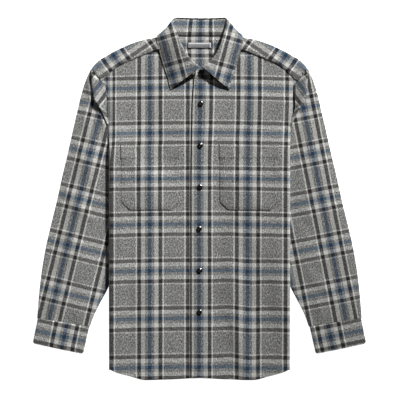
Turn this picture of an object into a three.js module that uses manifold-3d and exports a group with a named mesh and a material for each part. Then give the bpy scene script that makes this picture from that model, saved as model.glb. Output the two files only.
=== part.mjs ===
// A long-sleeved flannel work shirt, laid flat on its back with the collar buttoned.
// Millimetres. +X is to the right of the shirt as it is looked down on, +Y towards the collar, +Z up.
// The origin is on the surface that the shirt lies on, below the middle of its outline.
import * as THREE from "three";
import { mergeVertices } from "three/addons/utils/BufferGeometryUtils.js";
import Module from "manifold-3d";

const wasm = await Module();
wasm.setup();

// Driving dimensions
const CLOTH = 1.2; // brushed cotton, one layer
const GAP = 0.5; // air between layers that lie on each other
const LAYER = CLOTH + GAP; // a layer and the air above it
const SEAM = 0.4; // between pieces that meet at a seam
const LIFT = 0.3; // below what is sewn on top of a panel
const BODY_HALF = 199; // centre line to the side edge, where the body is turned under
const YOKE_SEAM_Y = 235; // back yoke seam
const PLACKET_STITCH = 17.6; // centre line to the outer stitch line of the band
const COLLAR_CLOTH = 1.8; // two layers and the interlining
const CUFF_CLOTH = 2.0;
const CUFF_HOLLOW = 0.8;
const BUTTON_PITCH = 91.5;
const TOP_BUTTON_Y = 207;
const FRONT_BUTTONS = 6;

// Hem of the body by distance from the centre line: it rises to the side seam, which is turned under.
const HEM = [
  { x: 0, y: -394 },
  { x: 60, y: -397 },
  { x: 118, y: -398.5 },
  { x: 150, y: -391 },
  { x: 184, y: -381.5 },
  { x: 199, y: -374 },
  { x: 225, y: -360 },
  { x: 250, y: -350 },
  { x: 269, y: -345 },
];
// Upper edge of a front by distance from the centre line: the neckline, then the front yoke seam.
const FRONT_TOP = [
  { x: 0, y: 261 },
  { x: 17, y: 262 },
  { x: 31, y: 265 },
  { x: 46, y: 271 },
  { x: 62, y: 288 },
  { x: 77, y: 329.6 },
  { x: 96, y: 327.8 },
  { x: 112, y: 322 },
  { x: 131, y: 314.5 },
  { x: 150, y: 307 },
  { x: 171, y: 297.4 },
  { x: 186, y: 287.6 },
  { x: 216.7, y: 259.6 },
];
// Free edge of the band, which leans in a little towards the collar.
const PLACKET_EDGE = [
  { y: 0, x: -17 },
  { y: 195, x: -15 },
  { y: 228, x: -13.4 },
  { y: 261, x: -11.2 },
];
// Outer edge of the body as it lies, from the turned side up round the armhole.
const ARMHOLE = [
  { y: 118, x: 199 },
  { y: 135, x: 199 },
  { y: 159.5, x: 199 },
  { y: 192.5, x: 204.6 },
  { y: 221, x: 203.9 },
  { y: 247.5, x: 205.7 },
  { y: 259.6, x: 216.7 },
];
// Inner edge of the turned-under side: side seam, then the hidden armhole.
const TURNED_EDGE = [
  { y: 46, x: 129 },
  { y: 70, x: 160 },
  { y: 88, x: 178 },
  { y: 105, x: 195.8 },
];
// Top of the shoulder, where the yoke folds over to the front.
const SHOULDER = [
  { x: 77, y: 357 },
  { x: 96, y: 354.6 },
  { x: 112, y: 351.5 },
  { x: 131, y: 346.8 },
  { x: 150, y: 340.5 },
  { x: 171, y: 331.5 },
  { x: 186, y: 324.5 },
  { x: 205, y: 313.6 },
  { x: 216.7, y: 306.9 },
  { x: 227, y: 298.5 },
  { x: 236, y: 288.5 },
];
// End of the yoke at the armhole, on both layers.
const YOKE_END = [
  { x: 205, y: 246 },
  { x: 216.7, y: 259.6 },
  { x: 227, y: 271.8 },
  { x: 236, y: 282.6 },
];
// Sleeve cross lines from the armhole to the cuff seam: outer and inner end of each.
const SLEEVE = [
  { ox: 237.6, oy: 284.4, ix: 128.7, iy: 45 },
  { ox: 250, oy: 257, ix: 130, iy: 41 },
  { ox: 259, oy: 227, ix: 131.5, iy: 36 },
  { ox: 267.5, oy: 191, ix: 133, iy: 30 },
  { ox: 277, oy: 150, ix: 136, iy: 20 },
  { ox: 288, oy: 100, ix: 140, iy: 6 },
  { ox: 300, oy: 50, ix: 148, iy: -20 },
  { ox: 312, oy: -5, ix: 160, iy: -60 },
  { ox: 325, oy: -58, ix: 174, iy: -108 },
  { ox: 336.5, oy: -108, ix: 186, iy: -156 },
  { ox: 345, oy: -158, ix: 202.5, iy: -196.5 },
  { ox: 351, oy: -208, ix: 221, iy: -232 },
  { ox: 354, oy: -243, ix: 233, iy: -257 },
  { ox: 355.5, oy: -263.3, ix: 241.7, iy: -281 },
];
// Top edge of the sleeve along the armhole, u being the share of the way from shoulder to underarm.
const SLEEVE_HEAD = [
  { u: 0, x: 237.6, y: 284.4 },
  { u: 0.06, x: 227.3, y: 271.4 },
  { u: 0.116, x: 217.1, y: 259.2 },
  { u: 0.174, x: 206.1, y: 247.3 },
  { u: 0.269, x: 204.3, y: 221 },
  { u: 0.37, x: 205, y: 192.4 },
  { u: 0.49, x: 199.4, y: 159.4 },
  { u: 0.578, x: 199.4, y: 135 },
  { u: 0.651, x: 195, y: 115 },
  { u: 0.774, x: 178, y: 85 },
  { u: 0.89, x: 154, y: 62 },
  { u: 1, x: 128.7, y: 45 },
];
const HEAD_ROWS = 5; // sleeve cross lines over which the curve of the armhole dies out
// Crease in the sleeve head: the cap folds down over the arm along it.
const CAP_CREASE = [
  { y: 159.5, x: 200 },
  { y: 179, x: 211 },
  { y: 199, x: 222 },
  { y: 221, x: 234 },
  { y: 269.5, x: 236.5 },
];
// Cuff corners as it lies.
const CUFF = {
  topOuter: [355.6, -263.8],
  topInner: [241.8, -281.5],
  endOuter: [366.7, -317.9],
  endInner: [255.4, -341.4],
};
// Patch pocket, by distance from the centre line.
const POCKET = { inner: 46, outer: 171, bottom: -26, top: 118, mouth: 1.9 };
// Soft folds pressed into the fronts: a ridge line from one end to the other.
const FOLDS = [
  { side: 1, x1: 86, y1: -20, x2: 92, y2: -400, width: 34, height: 2.6 },
  { side: 1, x1: 40, y1: -60, x2: 34, y2: -400, width: 22, height: 1.0 },
  { side: -1, x1: 112, y1: -40, x2: 128, y2: -400, width: 30, height: 2.0 },
  { side: -1, x1: 60, y1: -120, x2: 52, y2: -400, width: 26, height: 1.2 },
];
// Collar stations from the middle of the back to the front: neck seam n, top of the stand r, leaf edge e.
const COLLAR = [
  { nx: 0, ny: 357.6, nz: 4.9, rx: 0, ry: 393.6, rz: 3.6, ex: 0, ey: 347, ez: 0.9 },
  { nx: 24, ny: 357.6, nz: 4.9, rx: 22, ry: 393.9, rz: 3.6, ex: 26, ey: 347, ez: 0.9 },
  { nx: 44, ny: 357.8, nz: 5.0, rx: 41, ry: 394.8, rz: 4.2, ex: 52, ey: 348, ez: 0.9 },
  { nx: 60, ny: 358.6, nz: 5.6, rx: 53, ry: 395, rz: 6.5, ex: 73, ey: 356, ez: 1.0 },
  { nx: 70, ny: 359.5, nz: 6.6, rx: 59.5, ry: 388.5, rz: 10, ex: 85, ey: 362.5, ez: 2.6 },
  { nx: 77, ny: 354, nz: 7.6, rx: 59, ry: 376, rz: 13.5, ex: 93.6, ey: 355, ez: 6.4 },
  { nx: 79.5, ny: 343, nz: 7.0, rx: 51.5, ry: 359.5, rz: 15.5, ex: 92.6, ey: 342, ez: 6.4 },
  { nx: 79.5, ny: 331, nz: 7.0, rx: 42.5, ry: 341.5, rz: 16.5, ex: 88.5, ey: 327, ez: 6.0 },
  { nx: 76.5, ny: 317, nz: 5.6, rx: 33.5, ry: 325, rz: 16.5, ex: 83.5, ey: 309, ez: 5.2 },
  { nx: 68.5, ny: 296, nz: 4.8, rx: 24.5, ry: 310, rz: 16, ex: 76.5, ey: 286, ez: 4.7 },
  { nx: 54, ny: 276.5, nz: 4.8, rx: 15.5, ry: 297.5, rz: 15, ex: 69, ey: 265, ez: 4.6 },
  { nx: 35, ny: 266, nz: 5.4, rx: 8, ry: 289.5, rz: 14, ex: 65, ey: 252, ez: 4.5 },
];
const LEAF_FRONT = { rx: 4, ry: 285.5, rz: 13.6, ex: 62.5, ey: 246, ez: 4.4 };
// Ends of the stand across the middle of the front: the one that laps over, then the one beneath.
const STAND_OVER = [
  { nx: 21, ny: 264, nz: 6.4, rx: 11, ry: 285, rz: 8.6 },
  { nx: 3, ny: 263, nz: 6.7, rx: 0, ry: 285, rz: 8.2 },
  { nx: -11, ny: 263.5, nz: 6.7, rx: -12, ry: 281, rz: 8.0 },
];
const STAND_BENEATH = [
  { nx: -20, ny: 265, nz: 4.3, rx: -10, ry: 285, rz: 5.8 },
  { nx: 0, ny: 264.4, nz: 4.3, rx: 2, ry: 285, rz: 5.6 },
  { nx: 11, ny: 265, nz: 4.3, rx: 12, ry: 280, rz: 5.4 },
];
// Section of the roll from the top of the stand over to the leaf: up along the stand, and out from it.
const ROLL = [
  { up: 1.5, out: -0.3 },
  { up: 2.4, out: 1.0 },
  { up: 0.8, out: 2.6 },
];
const LEAF_SWELL = 1.6; // how far the leaf bows up between roll and edge
const LABEL = { half: 25, bottom: 331.3, top: 341.5, thick: 1.0 };

// Columns and rows of the body panels: distances from the centre line, and heights.
const BODY_X = [0, 17.6, 31, 46, 62, 77, 96, 112, 131, 150, 171, 186];
const BODY_Y = [
  -320, -262, -204, -146, -88, -26, -10, 18, 46, 70, 88, 105, 118, 135, 159.5, 192.5, 221, 247.5,
];
const HEM_ROW = -390;
const TOP_ROW = 259.6;
const TURN_STEPS = 6; // facets round a turned side
const TURNED_COLUMNS = 3;
const TURN_TOP = 105; // height at which the turned side starts

const COLOURS = {
  cloth: new THREE.MeshStandardMaterial({ color: 0x7c7b79, roughness: 0.95, metalness: 0 }),
  label: new THREE.MeshStandardMaterial({ color: 0xc9c9cc, roughness: 0.6, metalness: 0 }),
  button: new THREE.MeshStandardMaterial({ color: 0x111113, roughness: 0.25, metalness: 0 }),
};

const { lerp, smoothstep, clamp } = THREE.MathUtils;

// The value of one column of a table at a place along another, straight between rows.
function read(table, key, at, column) {
  const rows = table[0][key] < table.at(-1)[key] ? table : [...table].reverse();
  const next = rows.findIndex((row) => row[key] >= at);
  if (next === 0) return rows[0][column];
  if (next < 0) return rows.at(-1)[column];
  const [a, b] = [rows[next - 1], rows[next]];
  return lerp(a[column], b[column], (at - a[key]) / (b[key] - a[key]));
}

// A solid of cloth from rows of wall points, each with an outer and an inner place.
// A ring joins the end of every row to its start. Points that fall together are merged.
function wall(rows, ring = false) {
  const across = rows[0].length;
  const count = rows.length * across;
  const places = rows.flatMap((row) => row.map((p) => p.outer));
  places.push(...rows.flatMap((row) => row.map((p) => p.inner)));
  const faces = [];
  // Every quad is split from its end near the centre line and the hem to its far end, or the other
  // way about, by its place alone, so that layers on each other are faceted alike.
  const quad = (a, b, c, d) => {
    const [from, to] = [places[a % count], places[c % count]];
    const rising = (Math.abs(from[0]) - Math.abs(to[0])) * (from[1] - to[1]) >= 0;
    faces.push(...(rising ? [a, b, c, a, c, d] : [b, c, d, b, d, a]));
  };
  const outer = (j, i) => j * across + (i % across);
  const inner = (j, i) => count + outer(j, i);
  const last = rows.length - 1;
  for (let j = 0; j < last; j++) {
    for (let i = 0; i < (ring ? across : across - 1); i++) {
      quad(outer(j, i), outer(j, i + 1), outer(j + 1, i + 1), outer(j + 1, i));
      quad(inner(j, i), inner(j + 1, i), inner(j + 1, i + 1), inner(j, i + 1));
    }
    if (!ring) {
      quad(outer(j + 1, 0), inner(j + 1, 0), inner(j, 0), outer(j, 0));
      quad(outer(j, across - 1), inner(j, across - 1), inner(j + 1, across - 1), outer(j + 1, across - 1));
    }
  }
  for (let i = 0; i < (ring ? across : across - 1); i++) {
    quad(outer(0, i), inner(0, i), inner(0, i + 1), outer(0, i + 1));
    quad(outer(last, i + 1), inner(last, i + 1), inner(last, i), outer(last, i));
  }
  const geometry = new THREE.BufferGeometry();
  geometry.setAttribute("position", new THREE.Float32BufferAttribute(places.flat(), 3));
  geometry.setIndex(faces);
  return solid(geometry);
}

// Geometry with merged points, no empty faces, and its faces pointing out.
function solid(geometry) {
  geometry.deleteAttribute("normal");
  geometry.deleteAttribute("uv");
  const merged = mergeVertices(geometry, 1e-3);
  const index = merged.index.array;
  const kept = [];
  for (let k = 0; k < index.length; k += 3) {
    const [a, b, c] = [index[k], index[k + 1], index[k + 2]];
    if (a !== b && b !== c && c !== a) kept.push(a, b, c);
  }
  const at = merged.attributes.position;
  const corner = (k) => new THREE.Vector3().fromBufferAttribute(at, kept[k]);
  let volume = 0;
  for (let k = 0; k < kept.length; k += 3) {
    volume += corner(k).dot(corner(k + 1).cross(corner(k + 2)));
  }
  if (volume < 0) kept.reverse();
  merged.setIndex(kept);
  return merged;
}

const shirt = new THREE.Group();

function piece(name, geometry, material = COLOURS.cloth) {
  const mesh = new THREE.Mesh(geometry, material);
  mesh.name = name;
  shirt.add(mesh);
}

// A wall point on a level layer: the outer face is the upper one.
function upper(x, y, bottom, thick = CLOTH) {
  return { outer: [x, y, bottom + thick], inner: [x, y, bottom] };
}

// How far the layers beneath raise the body: the hidden arm, and the turned-under side.
function sleeveLift(x, y) {
  const edge = y > 45 ? read(SLEEVE_HEAD, "y", Math.min(y, 135), "x") : read(SLEEVE, "iy", y, "ix");
  const beyond = y < -196.5 ? 202.5 + (-196.5 - y) * 0.5 : edge;
  return 2 * LAYER * smoothstep(Math.abs(x), beyond - 54, beyond - 17) * smoothstep(-y, -157, -137);
}
function turnLift(x, y) {
  const edge = read(TURNED_EDGE, "y", y, "x");
  return 2 * LAYER * smoothstep(Math.abs(x), edge - 50, edge - 10) * smoothstep(-y, -128, -95);
}
const backBottom = (x, y) => sleeveLift(x, y) + turnLift(x, y);

// Soft folds of one front, as height.
function folds(side, x, y) {
  return FOLDS.filter((fold) => fold.side === side).reduce((sum, fold) => {
    const along = clamp((fold.y1 - y) / (fold.y1 - fold.y2), 0, 1);
    const away = Math.abs(x - lerp(fold.x1, fold.x2, along)) / fold.width;
    return sum + fold.height * smoothstep(along, 0, 0.35) * smoothstep(-away, -1, 0);
  }, 0);
}

// Underside of a front. The right one closes over the left.
function frontBottom(side, x, y) {
  const over = side > 0 ? LAYER * (1 - smoothstep(x, 19, 46)) : 0;
  return backBottom(x, y) + LAYER + over + folds(side, x, y);
}

// One row of a body panel on one side: level columns, then the turned side while the row has one.
// level gives the underside of the upper layer and depth the layers between it and the outermost one.
function bodyRow(side, y, columns, level, depth, heightAt) {
  const place = (x) => (heightAt ? heightAt(x) : y);
  const limit = y > TURN_TOP ? read(ARMHOLE, "y", y, "x") : BODY_HALF;
  const low = sleeveLift(BODY_HALF, y);
  const top = frontBottom(-1, BODY_HALF, y) + CLOTH;
  const outerRadius = (top - low) / 2;
  const turned = y <= TURN_TOP;
  const centre = BODY_HALF - outerRadius;
  const radius = outerRadius - depth;
  const row = columns.map((x) => upper(side * x, place(x), level(x, y)));
  const endX = turned ? centre : limit;
  row.push(upper(side * endX, place(endX), level(endX, y)));
  const mid = low + outerRadius;
  for (let k = 1; k <= TURN_STEPS; k++) {
    const angle = (k / TURN_STEPS) * Math.PI;
    const at = (r) => [side * (centre + r * Math.sin(angle)), place(BODY_HALF), mid + r * Math.cos(angle)];
    row.push(turned ? { outer: at(radius), inner: at(radius - CLOTH) } : row[columns.length]);
  }
  for (let k = 1; k <= TURNED_COLUMNS; k++) {
    const x = lerp(centre, read(TURNED_EDGE, "y", y, "x"), k / TURNED_COLUMNS);
    const z = sleeveLift(x, y) + depth;
    const under = 2 * BODY_HALF - x;
    const point = { outer: [side * x, place(under), z], inner: [side * x, place(under), z + CLOTH] };
    row.push(turned ? point : row[columns.length]);
  }
  return row;
}

const hemHeight = (x) => read(HEM, "x", Math.abs(x), "y");
const frontTop = (x) => read(FRONT_TOP, "x", Math.abs(x), "y");

// A front: hem, rows at set heights, and the neckline and yoke seam. It starts past the centre line.
function front(side) {
  const level = (x, y) => frontBottom(side, x, y);
  const row = (y, heightAt) => {
    const columns = [side > 0 ? read(PLACKET_EDGE, "y", y, "x") : -PLACKET_STITCH, ...BODY_X];
    return bodyRow(side, y, columns, level, 0, heightAt);
  };
  return wall([row(HEM_ROW, hemHeight), ...BODY_Y.map((y) => row(y)), row(TOP_ROW, frontTop)]);
}

// The band on the edge of the front that closes, made from that front's points.
function placket() {
  const row = (y, heightAt) =>
    [read(PLACKET_EDGE, "y", y, "x"), 0, PLACKET_STITCH].map((x) =>
      upper(x, heightAt ? heightAt(x) : y, frontBottom(1, x, y) + CLOTH + LIFT),
    );
  return wall([row(HEM_ROW, hemHeight), ...BODY_Y.map((y) => row(y)), row(TOP_ROW, frontTop)]);
}

// The back below the yoke, turned under at both sides inside the fronts.
function back() {
  const columns = [0, 46, 77, 96, 112, 131, 150, 171, 186];
  const row = (y, heightAt) => {
    const half = (side) => bodyRow(side, y, columns, backBottom, LAYER, heightAt);
    return [...half(-1).reverse(), ...half(1).slice(1)];
  };
  const hem = row(HEM_ROW, (x) => hemHeight(x) + 2);
  const rows = BODY_Y.filter((y) => y < YOKE_SEAM_Y).map((y) => row(y));
  return wall([hem, ...rows, row(YOKE_SEAM_Y)]);
}

// The yoke: a back part below and a strip of each shoulder folded over to the front.
const YOKE_HALF_X = [0, 24, 46, 60, 68, 77, 96, 112, 131, 150, 171, 186, 205, 216.7, 227, 236];
const YOKE_Y = [YOKE_SEAM_Y + SEAM, 272, 308, 328, 337, 346];
const YOKE_NECK_Y = 356.5;
const YOKE_NECK_HALF = 68;
const yokeBottom = (x, y) => 3.0 * smoothstep(y, 326, 344) * (1 - smoothstep(Math.abs(x), 84, 106));

function yoke() {
  const column = (x) => {
    const away = Math.abs(x);
    const neck = away <= YOKE_NECK_HALF;
    const radius = CLOTH + GAP / 2;
    const start = away < 205 ? YOKE_Y[0] : Math.max(YOKE_Y[0], read(YOKE_END, "x", away, "y"));
    const top = neck ? YOKE_NECK_Y : read(SHOULDER, "x", away, "y") - radius;
    const below = (y) => ({ outer: [x, y, yokeBottom(x, y)], inner: [x, y, yokeBottom(x, y) + CLOTH] });
    const path = [...YOKE_Y.map((y) => below(clamp(y, start, top))), below(top)];
    const rise = yokeBottom(x, top);
    for (let k = 1; k <= 4; k++) {
      const angle = (k / 4) * Math.PI;
      const at = (r) => [x, top + r * Math.sin(angle), rise + radius - r * Math.cos(angle)];
      path.push(neck ? path[YOKE_Y.length] : { outer: at(radius), inner: at(radius - CLOTH) });
    }
    const seam = away > 216.7 ? read(YOKE_END, "x", away, "y") : read(FRONT_TOP, "x", away, "y") + SEAM;
    for (const share of [0.5, 1]) {
      const y = lerp(top, Math.min(seam, top), share);
      path.push(neck ? path[YOKE_Y.length] : upper(x, y, rise + LAYER));
    }
    return path;
  };
  const xs = [...YOKE_HALF_X.slice(1).reverse().map((x) => -x), ...YOKE_HALF_X];
  return wall(xs.map(column));
}

// The raised cap of the sleeve head, between its crease and the armhole.
function capLift(x, y) {
  if (y < 160 || y > 280) return 0;
  const crease = read(CAP_CREASE, "y", y, "x");
  const seam = y > 259.6 ? read(YOKE_END, "y", y, "x") : read(ARMHOLE, "y", y, "x");
  const share = (crease - x) / Math.max(crease - seam, 4);
  return 3.4 * smoothstep(share, -0.35, 0.1) * (1 - smoothstep(share, 0.35, 1));
}

// A sleeve: a flattened tube with its head open at the armhole and its other end at the cuff.
function sleeve(side) {
  const rows = SLEEVE.map((line, j) => {
    const fade = Math.max(0, 1 - j / HEAD_ROWS);
    const points = SLEEVE_HEAD.map((head) => {
      const straight = (a, b) => lerp(a, b, head.u);
      const x = straight(line.ox, line.ix) + (head.x - straight(SLEEVE[0].ox, SLEEVE[0].ix)) * fade;
      const y = straight(line.oy, line.iy) + (head.y - straight(SLEEVE[0].oy, SLEEVE[0].iy)) * fade;
      return { x, y };
    });
    const outerX = line.ox;
    const puff = (x) => {
      const share = clamp((x - 208) / (outerX - 208), 0, 1);
      return 3.2 * 4 * share * (1 - share) * smoothstep(j, 3, 7);
    };
    const raise = (p) => LAYER + puff(p.x) + (j > 0 ? capLift(p.x, p.y) : 0);
    const ring = points.map((p) => upper(side * p.x, p.y, raise(p)));
    const turn = (from, to, up) => {
      const dx = to.x - from.x;
      const dy = to.y - from.y;
      const length = Math.hypot(dx, dy);
      const radius = CLOTH + GAP / 2;
      for (const share of up ? [0.75, 0.5, 0.25] : [0.25, 0.5, 0.75]) {
        const angle = share * Math.PI;
        const at = (r) => {
          const reach = (r * Math.sin(angle)) / length;
          return [side * (to.x + dx * reach), to.y + dy * reach, radius + r * Math.cos(angle)];
        };
        ring.push({ outer: at(radius), inner: at(radius - CLOTH) });
      }
    };
    turn(points.at(-2), points.at(-1), false);
    for (const p of [...points].reverse()) {
      ring.push({ outer: [side * p.x, p.y, 0], inner: [side * p.x, p.y, CLOTH] });
    }
    turn(points[1], points[0], true);
    return ring;
  });
  return wall(rows, true);
}

// A cuff: a flat band of doubled cloth, open at both ends, its outer corner rounded off.
function cuff(side) {
  const shares = [0, 0.08, 0.22, 0.4, 0.6, 0.78, 0.92, 1];
  const rows = [0, 0.5, 0.92, 1].map((down) => {
    const inset = down === 1 ? 2.5 : 0;
    const mix = (a, b) => [0, 1].map((k) => lerp(a[k], b[k], down));
    const from = mix(CUFF.topOuter, CUFF.endOuter);
    const to = mix(CUFF.topInner, CUFF.endInner);
    const span = Math.hypot(to[0] - from[0], to[1] - from[1]);
    const dir = [(to[0] - from[0]) / span, (to[1] - from[1]) / span];
    const radius = CUFF_CLOTH + CUFF_HOLLOW / 2;
    const place = (share) => {
      const d = lerp(radius + inset, span - radius - inset, share);
      return [side * (from[0] + dir[0] * d), from[1] + dir[1] * d];
    };
    const bulge = (share) => 1.6 * Math.sin(share * Math.PI);
    const ring = shares.map((s) => upper(...place(s), CUFF_CLOTH + CUFF_HOLLOW + bulge(s), CUFF_CLOTH));
    const turn = (share, way, angles) => {
      const [x, y] = place(share);
      for (const part of angles) {
        const angle = part * Math.PI;
        const at = (r) => {
          const out = way * r * Math.sin(angle);
          return [x + side * dir[0] * out, y + dir[1] * out, radius + r * Math.cos(angle)];
        };
        ring.push({ outer: at(radius), inner: at(radius - CUFF_CLOTH) });
      }
    };
    turn(1, 1, [0.25, 0.5, 0.75]);
    for (const s of [...shares].reverse()) {
      ring.push({ outer: [...place(s), 0], inner: [...place(s), CUFF_CLOTH] });
    }
    turn(0, -1, [0.75, 0.5, 0.25]);
    return ring;
  });
  return wall(rows, true);
}

// A patch pocket on its front, made from the front's own points. The hem at its mouth is thicker.
function pocket(side) {
  const columns = BODY_X.filter((x) => x >= POCKET.inner && x <= POCKET.outer);
  const heights = BODY_Y.filter((y) => y >= POCKET.bottom && y <= POCKET.top);
  const mouth = heights.length - 3;
  const rows = heights.map((y, j) =>
    columns.map((x, i) => {
      const corner = j === 0 && (i === 0 || i === columns.length - 1);
      const height = corner ? heights[1] : y;
      const bottom = frontBottom(side, x, height) + CLOTH + LIFT;
      return upper(side * x, height, bottom, j >= mouth ? POCKET.mouth : CLOTH);
    }),
  );
  return wall(rows);
}

// A point of a strip on edge: its middle moved half the thickness each way along a normal.
function through(middle, normal, thick) {
  const half = normal.clone().normalize().multiplyScalar(thick / 2);
  return {
    outer: middle.clone().add(half).toArray(),
    inner: middle.clone().sub(half).toArray(),
  };
}

// Collar stations of the whole neck, from the left front round the back to the right front.
function stations() {
  const half = COLLAR.map((row) => ({ ...row }));
  const mirrored = half.slice(1).reverse();
  const flip = (row) => ({ ...row, nx: -row.nx, rx: -row.rx, ex: -row.ex });
  return [...mirrored.map(flip), ...half];
}

const vector = (row, part) => new THREE.Vector3(row[`${part}x`], row[`${part}y`], row[`${part}z`]);

// Upward direction of the stand at each station of a ring, and the side of it that faces the neck.
function standFrames(ring) {
  return ring.map((row, k) => {
    const seam = vector(row, "n");
    const top = vector(row, "r");
    const before = vector(ring[Math.max(0, k - 1)], "r");
    const after = vector(ring[Math.min(ring.length - 1, k + 1)], "r");
    const up = top.clone().sub(seam).normalize();
    const inward = new THREE.Vector3().crossVectors(after.sub(before), up).normalize();
    return { seam, top, up, inward };
  });
}

// The stand: from the neck seam up to the roll, its ends lapped at the front.
function stand() {
  const ring = [...STAND_BENEATH].reverse().concat(stations(), STAND_OVER);
  const rows = standFrames(ring).map(({ seam, top, inward }) =>
    [0, 0.33, 0.66, 0.94].map((share) => through(seam.clone().lerp(top, share), inward, COLLAR_CLOTH)),
  );
  return wall(rows);
}

// The leaf: over the roll and down to its edge, to a point at each front.
function leaf() {
  const frames = standFrames(stations());
  const half = [...COLLAR, LEAF_FRONT];
  const paths = [-1, 1].flatMap((side) => {
    const made = half.map((row, k) => {
      const frame = frames[Math.min(COLLAR.length - 1 + k, frames.length - 1)];
      const path = ROLL.map(({ up, out }) =>
        vector(row, "r").addScaledVector(frame.up, up).addScaledVector(frame.inward, -out),
      );
      const from = path.at(-1);
      const edge = vector(row, "e");
      for (const share of [0.3, 0.65, 1]) {
        const point = from.clone().lerp(edge, share);
        point.z += LEAF_SWELL * Math.sin(share * Math.PI) * smoothstep(row.rz, 6, 12);
        path.push(point);
      }
      return path.map((point) => new THREE.Vector3(side * point.x, point.y, point.z));
    });
    return side < 0 ? made.reverse().slice(0, -1) : made;
  });
  const rows = paths.map((path, k) =>
    path.map((point, i) => {
      const along = paths[Math.min(k + 1, paths.length - 1)][i].clone().sub(paths[Math.max(k - 1, 0)][i]);
      const down = path[Math.min(i + 1, path.length - 1)].clone().sub(path[Math.max(i - 1, 0)]);
      return through(point, along.cross(down), COLLAR_CLOTH);
    }),
  );
  return wall(rows);
}

// A neck label on the inside of the yoke.
function label() {
  const rows = [LABEL.bottom, 337, LABEL.top].map((y) =>
    [-LABEL.half, 0, LABEL.half].map((x) => upper(x, y, yokeBottom(x, y) + CLOTH + GAP, LABEL.thick)),
  );
  return wall(rows);
}

// A four-hole shirt button with a raised rim.
const BUTTON = { radius: 5.7, thick: 2.4, dish: 0.7, hole: 0.75, pitch: 2.5 };

function asManifold(geometry) {
  return new wasm.Manifold(
    new wasm.Mesh({
      numProp: 3,
      vertProperties: geometry.attributes.position.array,
      triVerts: new Uint32Array(geometry.index.array),
    }),
  );
}

function button() {
  const { radius, thick, dish, hole, pitch } = BUTTON;
  const profile = [
    [0, 0],
    [radius - 1.2, 0],
    [radius, thick * 0.5],
    [radius - 0.6, thick],
    [radius - 1.6, thick - 0.15],
    [radius - 2.2, thick - dish],
    [0, thick - dish],
  ].map(([r, z]) => new THREE.Vector2(r, z));
  const disc = new THREE.LatheGeometry(profile, 18).rotateX(Math.PI / 2);
  let made = asManifold(solid(disc));
  for (const [sx, sy] of [[1, 1], [-1, 1], [-1, -1], [1, -1]]) {
    const bore = new THREE.CylinderGeometry(hole, hole, 3 * thick, 6).rotateX(Math.PI / 2);
    bore.translate((sx * pitch) / 2, (sy * pitch) / 2, 0);
    made = made.subtract(asManifold(solid(bore)));
  }
  const mesh = made.getMesh();
  const geometry = new THREE.BufferGeometry();
  geometry.setAttribute("position", new THREE.BufferAttribute(mesh.vertProperties, 3));
  geometry.setIndex(new THREE.BufferAttribute(mesh.triVerts, 1));
  return geometry;
}

piece("back", back());
piece("yoke", yoke());
piece("front_left", front(-1));
piece("front_right", front(1));
piece("front_placket", placket());
piece("pocket_left", pocket(-1));
piece("pocket_right", pocket(1));
piece("sleeve_left", sleeve(-1));
piece("sleeve_right", sleeve(1));
piece("cuff_left", cuff(-1));
piece("cuff_right", cuff(1));
piece("collar_stand", stand());
piece("collar_leaf", leaf());
piece("neck_label", label(), COLOURS.label);
piece("button_stand", button().rotateX(0.09).translate(3.7, 277.6, 9.35), COLOURS.button);
for (let k = 0; k < FRONT_BUTTONS; k++) {
  const y = TOP_BUTTON_Y - k * BUTTON_PITCH;
  const z = frontBottom(1, 0, y) + 2 * (CLOTH + LIFT);
  piece(`button_${k + 1}`, button().translate(0, y, z), COLOURS.button);
}

export default shirt;
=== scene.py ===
"""The looks of a plaid flannel shirt that lies flat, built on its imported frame.

Tables hold millimetres: +X to the right of the shirt as it is looked down on, +Y to the collar, +Z up.
"""

import math

import bmesh
import bpy
import numpy as np
from mathutils import Matrix, Vector


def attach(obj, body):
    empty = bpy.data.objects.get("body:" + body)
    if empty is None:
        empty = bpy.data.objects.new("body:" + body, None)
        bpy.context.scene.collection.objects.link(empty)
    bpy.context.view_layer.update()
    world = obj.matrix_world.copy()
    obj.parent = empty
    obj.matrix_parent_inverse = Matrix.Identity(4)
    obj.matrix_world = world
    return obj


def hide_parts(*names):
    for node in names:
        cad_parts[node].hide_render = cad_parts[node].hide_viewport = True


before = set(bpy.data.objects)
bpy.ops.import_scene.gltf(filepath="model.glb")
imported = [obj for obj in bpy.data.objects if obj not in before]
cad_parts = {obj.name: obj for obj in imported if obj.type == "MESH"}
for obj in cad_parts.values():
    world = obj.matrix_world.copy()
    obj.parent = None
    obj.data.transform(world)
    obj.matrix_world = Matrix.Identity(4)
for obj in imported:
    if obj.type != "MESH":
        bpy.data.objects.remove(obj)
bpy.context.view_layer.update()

MM = 0.001


def table(columns, rows):
    """The rows of a table as dictionaries, by the names of its columns."""
    return [dict(zip(columns.split(), row)) for row in rows]


# Layers of cloth, as in the frame
CLOTH = 1.2
GAP = 0.5
LAYER = CLOTH + GAP
LIFT = 0.3
SEAM = 0.4
UNDERARM_Y = 45.0
HEAD_LOW_Y = 135.0  # where the sleeve head goes beneath the body
ARMHOLE_LOW_Y = 112.0
SLEEVE_LEAVES = (202.5, -196.5)  # where the sleeve's inner edge comes out from beneath the body
TURN_Y = {"flat": 146.0, "turned": 122.0}  # between them the side goes over into the turned-under side
CAP_BASE = 3.1  # height at which the cap fold leaves the armhole
SIDE_NAME = {-1: "left", 1: "right"}
BODY_HALF = 199.0
YOKE_SEAM_Y = 235.0
PLACKET_STITCH = 17.6
COLLAR_CLOTH = 1.8
CUFF_CLOTH = 2.0
CUFF_HOLLOW = 0.8
CELL = 3.0  # size of a mesh cell on what shows
COARSE_CELL = 6.0  # and on what lies beneath
SIDE_RIDGE = 3.4
SIDE_X = 192.5  # where the turned side starts to bend, for reading the layers beneath it
BAND_CURL = 0.3  # how far the band's free edge stands up

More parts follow.
